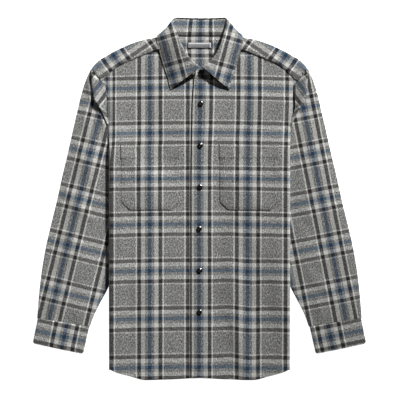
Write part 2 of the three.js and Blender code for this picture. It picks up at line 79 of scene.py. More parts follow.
# Plaid: one period of the repeat, and the middles of its blue groups on each piece
PERIOD = 106.7
WARP_MIDDLE = {"left": -109.2, "band": -1.1, "right": 105.2}
WEFT_MIDDLES = [-476.7, -370, -263, -158, -56, 45, 145, 244, 343, 444]
WEFT_BOW = 3.2  # how far the cross stripes drop from the middle to the sides

# Camera and picture
VIEW_CENTRE = (1.1, -3.3)
VIEW_WIDTH = 880.0
CAMERA_HEIGHT = 3200.0
SENSOR = 36.0
KEY_TARGET = (-0.2, 0.26, 0.0)  # metres
KEY_WAY = (1.42, 1.96, 1.28)  # towards the lamp, at the upper right
KEY_DISTANCE = 9.0
KEY_POWER = 6800.0
KEY_CONE = 17.0
KEY_SOFTNESS = 0.05  # radius of the lamp by its distance
FILL_PLACE = (-0.6, 1.3, 1.4)  # metres
FILL_SIZE = 0.8
FILL_POWER = 2.0
WORLD_LIGHT = 0.04
FLOOR_GLOW = 1.0
FLOOR_HALF = 4.0
FLOOR_DROP = 0.2

# Hem of the body by distance from the centre line.
HEM = table("x y", [
    (0, -394), (60, -397), (118, -398.5), (150, -391), (184, -381.5), (199, -374), (225, -360),
    (250, -350), (269, -345),
])
# Upper edge of a front by distance from the centre line: the neckline, then the front yoke seam.
FRONT_TOP = table("x y", [
    (0, 261), (17, 262), (31, 265), (46, 271), (62, 288), (77, 329.6), (96, 327.8), (112, 322),
    (131, 314.5), (150, 307), (171, 297.4), (186, 287.6), (216.7, 259.6),
])
# Free edge of the band, which leans in a little towards the collar.
PLACKET_EDGE = table("y x", [
    (-400, -17), (0, -17), (195, -15), (228, -13.4), (261, -11.2),
])
# Outer edge of the body as it lies, from the turned side up round the armhole.
ARMHOLE = table("y x", [
    (118, 199), (135, 199), (159.5, 199), (192.5, 204.6), (221, 203.9), (247.5, 205.7), (259.6, 216.7),
])
ARMHOLE_DROP = 5.0
# Inner edge of the turned-under side: side seam, then the hidden armhole.
TURNED_EDGE = table("y x", [
    (46, 129), (70, 160), (88, 178), (105, 195.8),
])
# Top of the shoulder, where the yoke folds over to the front.
SHOULDER = table("x y", [
    (77, 357), (96, 354.6), (112, 351.5), (131, 346.8), (150, 340.5), (171, 331.5), (186, 324.5),
    (205, 313.6), (216.7, 306.9), (227, 298.5), (236, 288.5),
])
YOKE_END = table("x y", [
    (205, 246), (216.7, 259.6), (227, 271.8), (236, 282.6),
])
# Sleeve cross lines from the armhole to the cuff seam: outer and inner end of each.
SLEEVE = table("ox oy ix iy", [
    (237.6, 284.4, 128.7, 45),
    (250, 257, 130, 41),
    (259, 227, 131.5, 36),
    (267.5, 191, 133, 30),
    (277, 150, 136, 20),
    (288, 100, 140, 6),
    (300, 50, 148, -20),
    (312, -5, 160, -60),
    (325, -58, 174, -108),
    (336.5, -108, 186, -156),
    (345, -158, 202.5, -196.5),
    (351, -208, 221, -232),
    (354, -243, 233, -257),
    (355.5, -263.3, 241.7, -281),
])
# Top edge of the sleeve along the armhole, u being the share of the way from shoulder to underarm.
SLEEVE_HEAD = table("u x y", [
    (0, 237.6, 284.4), (0.06, 227.3, 271.4), (0.116, 217.1, 259.2), (0.174, 206.1, 247.3),
    (0.269, 204.3, 221), (0.37, 205, 192.4), (0.49, 199.4, 159.4), (0.578, 199.4, 135),
    (0.651, 195, 115), (0.774, 178, 85), (0.89, 154, 62), (1, 128.7, 45),
])
HEAD_ROWS = 5
# The cap of the sleeve folds over the arm: its free edge f and the armhole a, from shoulder to underarm.
CAP_FOLD = table("fx fy ax ay rise", [
    (236.6, 283, 229, 272, 1.5),
    (237.5, 270, 218.5, 258.5, 5.0),
    (235.5, 245, 207.5, 246, 7.4),
    (232.5, 220, 205.5, 221, 7.4),
    (221, 201, 205.5, 200, 5.4),
    (211, 182, 203.5, 181, 3.2),
    (202.5, 163, 200.2, 163, 1.2),
])
# Across the cap fold: share of the way from the armhole to the free edge, and share of its rise.
CAP_SECTION = table("share up", [
    (0.0, 0.1), (0.2, 0.24), (0.45, 0.52), (0.7, 0.86), (0.88, 1.0),
    (0.97, 0.86), (1.0, 0.66), (0.96, 0.45), (0.86, 0.32), (0.7, 0.22),
])
CUFF = {
    "top_outer": (355.6, -263.8),
    "top_inner": (241.8, -281.5),
    "end_outer": (366.7, -317.9),
    "end_inner": (255.4, -341.4),
}
POCKET = {"inner": 44.0, "outer": 172.0, "bottom": -26.0, "top": 118.0, "corner": 18.0, "band": 30.0}
# Collar stations from the middle of the back to the front: neck seam n, top of the stand r, leaf edge e.
COLLAR = table("nx ny nz rx ry rz ex ey ez", [
    (0, 357.6, 4.9, 0, 393.6, 3.6, 0, 347, 0.9),
    (24, 357.6, 4.9, 22, 393.9, 3.6, 26, 347, 0.9),
    (44, 357.8, 5.0, 41, 394.8, 4.2, 52, 348, 0.9),
    (60, 358.6, 5.6, 53, 395, 6.5, 73, 356, 1.0),
    (70, 359.5, 6.6, 59.5, 388.5, 10, 85, 362.5, 2.6),
    (77, 354, 7.6, 57.7, 376, 11.5, 93.6, 355, 6.4),
    (79.5, 343, 7.0, 53.3, 360.5, 13.2, 92.6, 342, 6.4),
    (79.5, 331, 7.0, 47.4, 342.5, 15, 88.5, 327, 6.0),
    (76.5, 317, 5.6, 39.7, 325, 16.4, 83.5, 309, 5.2),
    (68.5, 296, 4.8, 31.4, 311.5, 16.2, 76.5, 286, 4.7),
    (54, 276.5, 4.8, 21.2, 299.6, 15, 69, 265, 4.6),
    (35, 266, 5.4, 10.4, 290.6, 16.2, 65.5, 248, 4.5),
])
LEAF_FRONT = {"nx": 33, "ny": 263.5, "nz": 5.4, "rx": 4.8, "ry": 286.2, "rz": 16.4}
LEAF_FRONT.update({"ex": 63, "ey": 240, "ez": 4.4})
STAND_OVER = table("nx ny nz rx ry rz", [
    (21, 264, 6.4, 11, 287, 8.4),
    (3, 263, 6.7, 0, 288, 7.8),
    (-11, 263.5, 6.7, -12, 282.5, 7.6),
])
STAND_BENEATH = table("nx ny nz rx ry rz", [
    (-20, 265, 4.3, -10, 285, 5.8),
    (0, 264.4, 4.3, 2, 285, 5.6),
    (11, 265, 4.3, 12, 280, 5.4),
])
ROLL = table("up out", [
    (1.5, -0.3), (2.3, 0.2), (2.4, 1.1), (1.8, 2.1), (0.8, 2.6),
])
LEAF_SWELL = 1.6
NECK_LEAN = 4.2  # the opening of the neck sits to the right at its lower end
LABEL = {"half": 25.0, "bottom": 331.3, "top": 341.5, "thick": 0.7, "border": 1.7}
BUTTON_PITCH = 91.5
TOP_BUTTON_Y = 208.0
BUTTON_DRIFT = [2.5, 1.8, 0.7, -0.6, 0.0, 0.0]  # the cloth under the upper ones is pulled to the right
STAND_BUTTON = (3.7, 278.2, 8.5, 0.045)  # its place, and its tilt in radians
BUTTON = {"radius": 5.75, "thick": 2.7, "dish": 0.6, "hole": 0.75, "pitch": 2.4, "rim": 1.7, "slope": 31.0}
BUTTON_THREAD = 0.22  # radius
HOLE_REACH = BUTTON["pitch"] / math.sqrt(2)
HOLE_ANGLES = [math.pi / 4 + i * math.pi / 2 for i in range(4)]

# Soft creases on the fronts: a line from one end to the other, its width, and its height or depth.
FRONT_CREASES = table("x1 y1 x2 y2 width height", [
    (86, -10, 92, -440, 18, 3.4),
    (118, -80, 126, -440, 16, -0.9),
    (40, -60, 34, -440, 15, 0.9),
    (150, 20, 168, -300, 14, 0.6),
    (196, 150, 120, 60, 14, 0.6),
    (194, 110, 140, 10, 12, 0.4),
    (190, 215, 110, 170, 14, 0.4),
    (92, 255, 60, 130, 16, 0.5),
    (30, 150, 42, -40, 11, 0.35),
    (-112, -40, -128, -440, 19, 1.6),
    (-60, -120, -52, -440, 15, 1.0),
    (-86, -70, -92, -430, 13, -0.5),
    (-160, 0, -172, -280, 14, 0.6),
    (-196, 155, -122, 50, 16, 0.25),
    (-194, 100, -150, 0, 12, 0.25),
    (-192, 220, -120, 180, 13, 0.4),
    (-96, 250, -70, 140, 15, 0.5),
    (-32, 210, -40, 20, 11, 0.35),
])
# Creases on a sleeve, by distance from the centre line, for the left and the right one.
SLEEVE_CREASES = {
    -1: table("x1 y1 x2 y2 width height", [
        (262, 200, 232, 60, 9, 1.6),
        (274, 120, 222, 20, 9, 1.1),
        (236, 150, 214, 40, 7, 1.2),
        (300, 30, 226, -60, 10, 1.5),
        (212, -10, 268, -90, 9, -0.9),
        (318, -60, 248, -120, 9, 1.1),
        (226, -130, 300, -190, 9, 1.2),
        (336, -150, 322, -262, 7, 1.3),
        (252, -200, 268, -275, 8, 1.3),
        (296, -205, 300, -272, 7, 1.0),
    ]),
    1: table("x1 y1 x2 y2 width height", [
        (264, 190, 236, 70, 9, 1.5),
        (240, 160, 214, 60, 8, 1.3),
        (290, 90, 222, 0, 10, 1.3),
        (306, 10, 236, -50, 9, 1.2),
        (214, -40, 280, -120, 9, -0.9),
        (330, -90, 262, -150, 10, 1.3),
        (232, -150, 296, -215, 9, 1.1),
        (340, -170, 326, -265, 7, 1.2),
        (256, -205, 270, -276, 8, 1.2),
        (300, -210, 296, -270, 7, 1.0),
    ]),
}


# Small helpers


def ramp(value, low, high):
    """0 below low and 1 above high, with a soft change between."""
    share = np.clip((value - low) / (high - low), 0, 1)
    return share * share * (3 - 2 * share)


def mix(a, b, share):
    return a + (b - a) * share


def column(rows, name):
    return np.array([row[name] for row in rows], float)


def curve(rows, key, name):
    """A function through the rows of a table, smooth and without overshoot."""
    order = np.argsort(column(rows, key))
    x = column(rows, key)[order]
    y = column(rows, name)[order]
    slope = np.diff(y) / np.diff(x)
    before, after = slope[:-1], slope[1:]
    total = np.where(np.abs(before + after) < 1e-9, 1, before + after)
    middle = np.where(before * after > 0, 2 * before * after / total, 0)
    tangent = np.concatenate([slope[:1], middle, slope[-1:]])

    def at(value):
        value = np.clip(value, x[0], x[-1])
        i = np.clip(np.searchsorted(x, value) - 1, 0, len(x) - 2)
        width = x[i + 1] - x[i]
        t = (value - x[i]) / width
        ends = y[i] * (1 + 2 * t) * (1 - t) ** 2 + y[i + 1] * t * t * (3 - 2 * t)
        return ends + width * (tangent[i] * t * (1 - t) ** 2 - tangent[i + 1] * t * t * (1 - t))

    return at


def between_rows(rows, k, names):
    """The named columns of a table at places k, counted from its first row and smooth between rows."""
    numbered = [dict(row, k=i) for i, row in enumerate(rows)]
    return [curve(numbered, "k", name)(k) for name in names]


def creases(rows, x, y):
    """Height of all the soft creases of a table at each place."""
    total = np.zeros(np.broadcast(x, y).shape)
    for k, row in enumerate(rows):
        dx = row["x2"] - row["x1"]
        dy = row["y2"] - row["y1"]
        length = math.hypot(dx, dy)
        along = ((x - row["x1"]) * dx + (y - row["y1"]) * dy) / length**2
        bend = 0.035 * length * np.sin(math.pi * np.clip(along, 0, 1) * 1.3 + k)
        away = ((x - row["x1"]) * dy - (y - row["y1"]) * dx) / length - bend
        width = row["width"] * (1 + 0.3 * np.sin(5 * along + 2 * k))
        ends = ramp(along, -0.12, 0.25) * (1 - ramp(along, 0.75, 1.12))
        total = total + row["height"] * np.exp(-((away / width) ** 2)) * ends
    return total


def ripple(x, y, seed=0.0):
    """Low uneven waves of cloth that has been pressed and has relaxed."""
    waves = (
        0.30 * np.sin(0.061 * x + 0.023 * y + 1.3 + seed)
        + 0.26 * np.sin(-0.034 * x + 0.055 * y + 0.4 + 2 * seed)
        + 0.16 * np.sin(0.117 * x - 0.049 * y + 2.1 + seed)
        + 0.12 * np.sin(0.088 * x + 0.131 * y + 4.2 - seed)
        + 0.07 * np.sin(0.241 * x + 0.117 * y + 3.3 + 3 * seed)
    )
    return waves


hem_height = curve(HEM, "x", "y")
front_top_height = curve(FRONT_TOP, "x", "y")
placket_edge = curve(PLACKET_EDGE, "y", "x")
armhole_edge = curve(ARMHOLE, "y", "x")
turned_edge = curve(TURNED_EDGE, "y", "x")
shoulder_height = curve(SHOULDER, "x", "y")
yoke_end_height = curve(YOKE_END, "x", "y")
head_edge = curve(SLEEVE_HEAD[5:], "y", "x")
sleeve_inner_edge = curve(SLEEVE, "iy", "ix")
cap_edge = curve(CAP_FOLD, "fy", "fx")


def armhole_drop(y):
    """How much farther out the right armhole seam has dropped than the left one."""
    return ARMHOLE_DROP * ramp(y, 178, 200) * (1 - ramp(y, 240, 258))


# Heights of the layers


def side_edge(y):
    """Outer edge of the body as it lies."""
    return np.where(y > ARMHOLE_LOW_Y, armhole_edge(y), BODY_HALF)


def sleeve_lift(x, y):
    """How far the hidden part of a sleeve raises what lies on it."""
    edge = np.where(y > UNDERARM_Y, head_edge(np.minimum(y, HEAD_LOW_Y)), sleeve_inner_edge(y))
    leave_x, leave_y = SLEEVE_LEAVES
    edge = np.where(y < leave_y, leave_x + (leave_y - y) * 0.5, edge)
    return 2 * LAYER * ramp(np.abs(x), edge - 110, edge - 8) * ramp(-y, -157, -137)


def turn_lift(x, y):
    """How far the turned-under side raises what lies on it."""
    edge = turned_edge(y)
    return 2 * LAYER * ramp(np.abs(x), edge - 105, edge - 5) * ramp(-y, -140, -85)


def side_ridge(x, y):
    """The sides stand up a little over the arms, with air beneath, and come down to the armhole seam."""
    edge = side_edge(y)
    down = 1 - 0.6 * ramp(-y, 230, 390)
    seam = ramp(np.abs(x) - edge, -16, -1.5) * ramp(y, 108, 132)
    return SIDE_RIDGE * ramp(np.abs(x) - edge, -50, -6) * down * (1 - ramp(y, 205, 250)) * (1 - seam)


def back_bottom(x, y):
    return sleeve_lift(x, y) + turn_lift(x, y) + side_ridge(x, y)


def front_relief(x, y):
    """Creases and waves of the fronts. They die out at the side edges."""
    inside = 1 - ramp(np.abs(x), BODY_HALF - 28, BODY_HALF - 11)
    near_top = 1 - ramp(y, front_top_height(np.abs(x)) - 22, front_top_height(np.abs(x)) - 4)
    waves = creases(FRONT_CREASES, x, y) + ripple(x, y) * ramp(np.abs(x), 18, 34)
    bead = 0.7 * (1 - ramp(front_top_height(np.abs(x)) - y, 0.5, 5)) * (1 - ramp(np.abs(x), 34, 44))
    return np.maximum(waves + 0.45, -0.2) * inside * near_top + bead


def front_bottom(side, x, y):
    over = LAYER * (1 - ramp(x, 19, 46)) if side > 0 else 0.0
    return back_bottom(x, y) + LAYER + over + front_relief(x, y)


def front_top(side, x, y):
    return front_bottom(side, x, y) + CLOTH


def band_top(x, y):
    return front_top(1, x, y) + LIFT + CLOTH


def band_raise(x, y):
    """The free edge of the band stands up a little, a bit more here and there."""
    uneven = 1 + 0.18 * np.sin(y / 31) + 0.12 * np.sin(y / 12 + 1)
    return BAND_CURL * uneven * (1 - ramp(x - placket_edge(y), 0, 11))


# Cloth coordinates, in periods of the plaid


def weft(x, y):
    """Cross coordinate of a body panel: it follows the measured groups, and bows down to the sides."""
    middles = np.array(WEFT_MIDDLES)
    level = y + WEFT_BOW * (np.minimum(np.abs(x), BODY_HALF) / BODY_HALF) ** 2
    drape = 2.2 * np.exp(-(((x - 66) / 24) ** 2)) - 2.4 * np.exp(-(((x - 112) / 26) ** 2))
    level = level - drape * ramp(-y, -20, 260)
    return np.interp(level, middles, np.arange(len(middles)))


def pulled(x, y):
    """The stripes beside the armholes are drawn in towards the seam, and the right ones lean out."""
    high = ramp(y, 70, 140)
    left = 0.009 * np.maximum(-x - 166, 0) ** 2 * high
    lean = 4.0 * ramp(y, 60, 230) * ramp(x, -25, 15)
    return left + lean


def body_cloth(middle, x, y, flat_x=None):
    across = x if flat_x is None else flat_x
    return np.stack([(across - pulled(x, y) - middle) / PERIOD, weft(x, y)], axis=-1)


def turned_cloth(points, origin, angle, scale=PERIOD):
    """Coordinates of a piece at an angle: origin is a blue crossing, angle that of its cross stripes."""
    dx = points[..., 0] - origin[0]
    dy = points[..., 1] - origin[1]
    c, s = math.cos(math.radians(angle)), math.sin(math.radians(angle))
    return np.stack([(dx * c + dy * s) / scale, (-dx * s + dy * c) / scale], axis=-1)


# Meshes


def grid_faces(rows, columns, first=0):
    index = first + np.arange(rows * columns).reshape(rows, columns)
    corners = [index[:-1, :-1], index[:-1, 1:], index[1:, 1:], index[1:, :-1]]
    return np.stack([c.ravel() for c in corners], axis=-1)


def unit(vectors):
    length = np.linalg.norm(vectors, axis=-1, keepdims=True)
    return vectors / np.where(length < 1e-9, 1, length)


def wall(outer, inner, cloth, closed=False):
    """Points, faces and cloth coordinates of a wall between two grids of points, its free edges rounded.

    closed says that the last column lies on the first one.
    """
    rows, columns = outer.shape[:2]
    count = rows * columns
    middle = (outer + inner) / 2
    thick = np.linalg.norm(outer - inner, axis=-1)
    index = np.arange(count).reshape(rows, columns)
    if closed:
        loops = [index[0, :], index[-1, :]]
    else:
        loops = [np.concatenate([index[0, :], index[1:, -1], index[-1, -2::-1], index[-2::-1, 0]])]
    points = [outer.reshape(-1, 3), inner.reshape(-1, 3)]
    places = [cloth.reshape(-1, 2), cloth.reshape(-1, 2)]
    faces = [grid_faces(rows, columns), grid_faces(rows, columns, count)[:, ::-1]]
    first = 2 * count
    for loop in loops:
        row, col = np.divmod(loop, columns)
        near = index[np.clip(row, 1, rows - 2), col if closed else np.clip(col, 1, columns - 2)]
        flat = middle.reshape(-1, 3)
        out = unit(flat[loop] - flat[near])
        rim = flat[loop] + out * 0.35 * thick.reshape(-1)[loop][:, None]
        points.append(rim)
        places.append(cloth.reshape(-1, 2)[loop])
        at = np.arange(len(loop) - 1)
        a, b = loop[at], loop[at + 1]
        faces.append(np.stack([a, first + at, first + at + 1, b], axis=-1))
        faces.append(np.stack([first + at, count + a, count + b, first + at + 1], axis=-1))
        first += len(loop)
    return np.concatenate(points), np.concatenate(faces), np.concatenate(places)


def add_object(name, data):
    made = bpy.data.objects.new(name, data)
    bpy.context.scene.collection.objects.link(made)
    return made


def smooth(mesh, angle):
    """Smooth shading, with sharp edges where faces meet at more than the angle in degrees."""
    for polygon in mesh.polygons:
        polygon.use_smooth = True
    mesh.set_sharp_from_angle(angle=math.radians(angle))


def mesh_object(name, walls, material, smooth_angle=55):
    """One object from several walls, in metres."""
    first = 0
    numbered = []
    for points, faces, _ in walls:
        numbered.append(faces + first)
        first += len(points)
    points = np.concatenate([part[0] for part in walls]) * MM
    faces = np.concatenate(numbered)
    places = np.concatenate([part[2] for part in walls])
    mesh = bpy.data.meshes.new(name)
    mesh.from_pydata(points.tolist(), [], faces.tolist())
    corner = np.empty(len(mesh.loops), np.int32)
    mesh.loops.foreach_get("vertex_index", corner)
    mesh.uv_layers.new(name="Cloth").data.foreach_set("uv", places[corner].astype(np.float32).ravel())
    edit = bmesh.new()
    edit.from_mesh(mesh)
    bmesh.ops.remove_doubles(edit, verts=edit.verts, dist=0.004 * MM)
    bmesh.ops.recalc_face_normals(edit, faces=edit.faces)
    edit.to_mesh(mesh)
    edit.free()
    smooth(mesh, smooth_angle)
    mesh.materials.append(material)
    return add_object(name, mesh)


def finish_piece(piece, slot, *nodes):
    """Carry a piece on the shirt and hide the solids that it replaces. slot is not used."""
    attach(piece, "root")
    if nodes:
        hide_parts(*nodes)


def cut_piece(name, node, parts, tube=False, slot="flannel"):
    """A piece of cloth from its parts, each one its upper points, lower points and cloth coordinates.

    tube says that its first part is closed all round.
    """
    walls = [wall(*part, closed=tube and i == 0) for i, part in enumerate(parts)]
    piece = mesh_object(name, walls, LABEL_CLOTH if slot == "label" else FLANNEL)
    finish_piece(piece, slot, node)


def stack(x, y, z):
    return np.stack(np.broadcast_arrays(x, y, z), axis=-1).astype(float)


def normals(points):
    """Unit normals of a grid of points."""
    along = np.gradient(points, axis=0)
    across = np.gradient(points, axis=1)
    return unit(np.cross(along, across))


def thicken(points, cloth, thick):
    """The two grids of points of a sheet around its middle surface, the first one on its upper side."""
    offset = normals(points) * thick / 2
    offset = offset * np.sign(np.median(offset[..., 2]))
    return points + offset, points - offset, cloth


def tube(points, radius, sides=6, up=(0.0, 0.0, 1.0)):
    """Rings of a thread along each of many short lines at once: points is lines by points by 3."""
    tangent = unit(np.gradient(points, axis=1))
    up = np.broadcast_to(np.asarray(up, float), points.shape)
    across = unit(np.cross(tangent, up))
    above = unit(np.cross(across, tangent))
    angles = np.arange(sides) * 2 * math.pi / sides
    thick = radius * np.array([0.55] + [1.0] * (points.shape[1] - 2) + [0.55])[None, :, None, None]
    ring = (
        across[:, :, None] * np.cos(angles)[None, None, :, None]
        + above[:, :, None] * np.sin(angles)[None, None, :, None]
    )
    places = points[:, :, None] + ring * thick
    lines, length = points.shape[:2]
    index = np.arange(lines * length * sides).reshape(lines, length, sides)
    here, after = index[:, :-1], index[:, 1:]
    corners = [here, np.roll(here, -1, axis=2), np.roll(after, -1, axis=2), after]
    faces = np.stack([c.ravel() for c in corners], axis=-1)
    flat = places.reshape(-1, 3)
    return flat, faces, np.zeros((len(flat), 2))


def stitches(path, up=None, length=2.5, gap=0.9, radius=0.28, proud=0.12):
    """A row of stitches along a line of points."""
    path = np.asarray(path, float)
    step = np.linalg.norm(np.diff(path, axis=0), axis=-1)
    along = np.concatenate([[0], np.cumsum(step)])
    pitch = length + gap
    count = max(1, int((along[-1] - gap) / pitch))
    starts = gap + np.arange(count) * pitch
    shares = np.linspace(0, 1, 5)
    at = starts[:, None] + shares[None, :] * length
    up_line = np.tile([0.0, 0.0, 1.0], (len(path), 1)) if up is None else np.asarray(up, float)
    points = np.stack([np.interp(at, along, path[:, i]) for i in range(3)], axis=-1)
    lift = np.stack([np.interp(at, along, up_line[:, i]) for i in range(3)], axis=-1)
    arch = (np.sin(math.pi * shares) * (radius + proud) - radius * 0.5)[None, :, None]
    return tube(points + lift * arch, radius, up=lift)


SEWN = {"front": [], "pockets": [], "yoke": [], "collar": [], "cuffs": [], "buttonholes": []}


def sew(group, path, up=None, **size):
    """Add a row of stitches to one of the groups."""
    SEWN[group].append(stitches(path, up, **size))


# Materials

# Yarn colours as they look, and how strongly each one is flecked
WARP_YARN = {
    "grey": ((123, 123, 121), 1.0),
    "mid": ((108, 108, 106), 0.9),
    "dark": ((41, 39, 38), 0.55),
    "light": ((180, 180, 176), 0.26),
    "blue": ((39, 54, 73), 0.5),
    "white": ((214, 214, 209), 0.25),
}
WEFT_YARN = {
    "grey": ((121, 121, 119), 1.0),
    "mid": ((122, 122, 120), 0.9),
    "dark": ((42, 39, 38), 0.55),
    "light": ((210, 210, 206), 0.26),
    "blue": ((37, 62, 90), 0.5),
    "white": ((218, 218, 213), 0.25),
}
# Stripes from the middle of a group outwards: where each ends, in periods.
STRIPES = [
    ("blue", 0.037),
    ("mid", 0.096),
    ("light", 0.180),
    ("dark", 0.252),
    ("grey", 0.264),
    ("white", 0.290),
    ("grey", 0.500),
]
STRIPE_BLUR = 0.004
WEFT_SHARE = 0.39
FLECK = 1.1  # contrast of the flecks


class Nodes:
    """Short calls for the nodes of one material."""

    def __init__(self, name):
        self.material = bpy.data.materials.new(name)
        self.material.use_nodes = True
        self.tree = self.material.node_tree
        self.shader = self.tree.nodes["Principled BSDF"]

    def add(self, kind, inputs=(), **settings):
        node = self.tree.nodes.new(kind)
        for name, value in settings.items():
            setattr(node, name, value)
        for name, value in dict(inputs).items():
            self.put(node.inputs[name], value)
        return node

    def put(self, socket, value):
        if isinstance(value, bpy.types.NodeSocket):
            self.tree.links.new(value, socket)
        else:
            socket.default_value = value

    def math(self, operation, a, b=0.0, c=0.0):
        return self.add("ShaderNodeMath", {0: a, 1: b, 2: c}, operation=operation).outputs[0]

    def noise(self, vector, scale, detail=2.0, roughness=0.5, distortion=0.0, dimensions="2D"):
        inputs = {"Vector": vector, "Scale": scale, "Detail": detail, "Roughness": roughness}
        inputs["Distortion"] = distortion
        return self.add("ShaderNodeTexNoise", inputs, noise_dimensions=dimensions).outputs["Fac"]

    def cloud(self, scale, detail):
        """Noise in the space of the piece."""
        place = self.add("ShaderNodeTexCoord").outputs["Object"]
        return self.noise(place, scale, detail, dimensions="3D")

    def stretch(self, vector, x, y, turn=0.0):
        inputs = {"Vector": vector, "Scale": (x, y, 1.0), "Rotation": (0.0, 0.0, math.radians(turn))}
        return self.add("ShaderNodeMapping", inputs).outputs["Vector"]

    def blend(self, share, first, second):
        inputs = {"Factor": share, 6: first, 7: second}
        return self.add("ShaderNodeMix", inputs, data_type="RGBA").outputs[2]

    def scaled(self, vector, factor):
        inputs = {0: vector, "Scale": factor}
        return self.add("ShaderNodeVectorMath", inputs, operation="SCALE").outputs[0]

    def bump(self, strength, distance, height):
        inputs = {"Strength": strength, "Distance": distance, "Height": height}
        return self.add("ShaderNodeBump", inputs).outputs["Normal"]

    def finish(self, base, roughness, normal=None, constants=()):
        """Link the looks to the shader and set its constants on their sockets."""
        self.put(self.shader.inputs["Base Color"], base)
        self.put(self.shader.inputs["Roughness"], roughness)
        if normal is not None:
            self.put(self.shader.inputs["Normal"], normal)
        for name, value in dict(constants).items():
            self.shader.inputs[name].default_value = value
        return self.material


def stripes(nodes, coordinate, yarns):
    """Colour and fleck of the yarns of one direction at a place, as stored colour values."""
    away = nodes.math("PINGPONG", coordinate, 0.5)
    ramp_node = nodes.add("ShaderNodeValToRGB", {"Fac": away})
    elements = ramp_node.color_ramp.elements
    stops = []
    start = 0.0
    for name, end in STRIPES:
        stops.append((start + STRIPE_BLUR / 2 if start else 0.0, name))
        stops.append((end - STRIPE_BLUR / 2, name))
        start = end
    while len(elements) < len(stops):
        elements.new(0.5)
    for element, (position, name) in zip(elements, stops):
        element.position = position
        rgb, fleck = yarns[name]
        element.color = tuple(value / 255 for value in rgb) + (fleck,)
    return ramp_node.outputs["Color"], ramp_node.outputs["Alpha"]


def flannel():
    """Brushed plaid twill: marled yarns, a fine diagonal weave and a soft nap."""
    nodes = Nodes("flannel")
    cloth = nodes.add("ShaderNodeUVMap", uv_map="Cloth").outputs["UV"]
    size = nodes.stretch(cloth, PERIOD, PERIOD)
    wander = nodes.noise(size, 0.05, 3.0)
    split = nodes.add("ShaderNodeSeparateXYZ", {"Vector": cloth})
    drift = nodes.math("MULTIPLY_ADD", wander, 0.012, -0.006)
    warp_yarn, warp_fleck = stripes(nodes, nodes.math("ADD", split.outputs["X"], drift), WARP_YARN)
    weft_yarn, weft_fleck = stripes(nodes, nodes.math("ADD", split.outputs["Y"], drift), WEFT_YARN)

    waves = {"Vector": nodes.stretch(size, 1.0, 1.0, 52), "Scale": 0.17, "Distortion": 1.6, "Detail": 2.0}
    waves["Detail Scale"] = 2.5
    twill = nodes.add("ShaderNodeTexWave", waves, wave_type="BANDS").outputs["Fac"]
    speckle = nodes.noise(nodes.stretch(size, 0.42, 0.30), 1.0, 1.0, 0.6)
    streak = nodes.noise(nodes.stretch(size, 0.5, 0.22, 38), 1.0, 1.0, 0.6, 0.3)
    fine = nodes.noise(nodes.stretch(size, 1.1, 0.7, 40), 1.0, 2.0, 0.7)

    share = nodes.math("MULTIPLY_ADD", twill, 0.2, WEFT_SHARE - 0.1)
    share = nodes.math("ADD", share, nodes.math("MULTIPLY_ADD", streak, 0.3, -0.15))
    share = nodes.add("ShaderNodeClamp", {"Value": share}).outputs[0]
    woven = nodes.blend(share, warp_yarn, weft_yarn)
    strength = nodes.add("ShaderNodeMix", {"Factor": share, 2: warp_fleck, 3: weft_fleck}).outputs[0]

    fleck = nodes.math("ADD", nodes.math("SUBTRACT", speckle, 0.5), nodes.math("SUBTRACT", streak, 0.5))
    fleck = nodes.math("MULTIPLY_ADD", nodes.math("SUBTRACT", fine, 0.5), 0.6, fleck)
    fleck = nodes.math("MULTIPLY", nodes.math("MULTIPLY", fleck, FLECK), strength)
    marl = nodes.math("MAXIMUM", nodes.math("ADD", fleck, 1.0), 0.25)
    tinted = nodes.scaled(woven, marl)
    linear = nodes.add("ShaderNodeGamma", {"Color": tinted, "Gamma": 2.2}).outputs["Color"]

    nap = nodes.noise(size, 1.3, 4.0, 0.7)
    height = nodes.math("MULTIPLY_ADD", twill, 0.35, nap)
    height = nodes.math("MULTIPLY_ADD", speckle, 0.8, height)
    constants = {"Specular IOR Level": 0.15, "Sheen Weight": 0.1, "Sheen Roughness": 0.5}
    return nodes.finish(linear, 0.93, nodes.bump(0.4, 0.0005, height), constants)


def grey(value):
    return (value, value, value, 1)


def thread(name, dark, light):
    nodes = Nodes(name)
    return nodes.finish(nodes.blend(nodes.cloud(1800.0, 1.0), grey(dark), grey(light)), 0.6)


def label_cloth():
    """Woven tape, grey with a lighter border."""
    nodes = Nodes("woven label")
    cloth = nodes.add("ShaderNodeUVMap", uv_map="Cloth").outputs["UV"]
    waves = {"Vector": cloth, "Scale": 0.5, "Distortion": 0.4}
    ribs = nodes.add("ShaderNodeTexWave", waves, bands_direction="Y")
    split = nodes.add("ShaderNodeSeparateXYZ", {"Vector": cloth})
    half_high = (LABEL["top"] - LABEL["bottom"]) / 2
    past = [
        nodes.math("SUBTRACT", nodes.math("ABSOLUTE", split.outputs[axis]), half - LABEL["border"])
        for axis, half in (("X", LABEL["half"]), ("Y", half_high))
    ]
    edge = {"Value": nodes.math("MAXIMUM", *past), "From Min": -0.3, "From Max": 0.3}
    border = nodes.add("ShaderNodeMapRange", edge).outputs[0]
    tone = nodes.math("MULTIPLY_ADD", border, 0.62, 0.68)
    tone = nodes.math("MULTIPLY_ADD", nodes.noise(cloth, 3.2), 0.14, tone)
    bump = nodes.bump(0.3, 0.0002, ribs.outputs["Fac"])
    return nodes.finish(nodes.scaled((0.46, 0.46, 0.475), tone), 0.55, bump, {"Sheen Weight": 0.2})


def button_resin():
    nodes = Nodes("button resin")
    cloud = nodes.cloud(260.0, 3.0)
    tone = nodes.blend(cloud, (0.003, 0.003, 0.004, 1), (0.008, 0.008, 0.01, 1))
    rough = nodes.math("MULTIPLY_ADD", cloud, 0.06, 0.21)
    return nodes.finish(tone, rough, constants={"Specular IOR Level": 1.0})


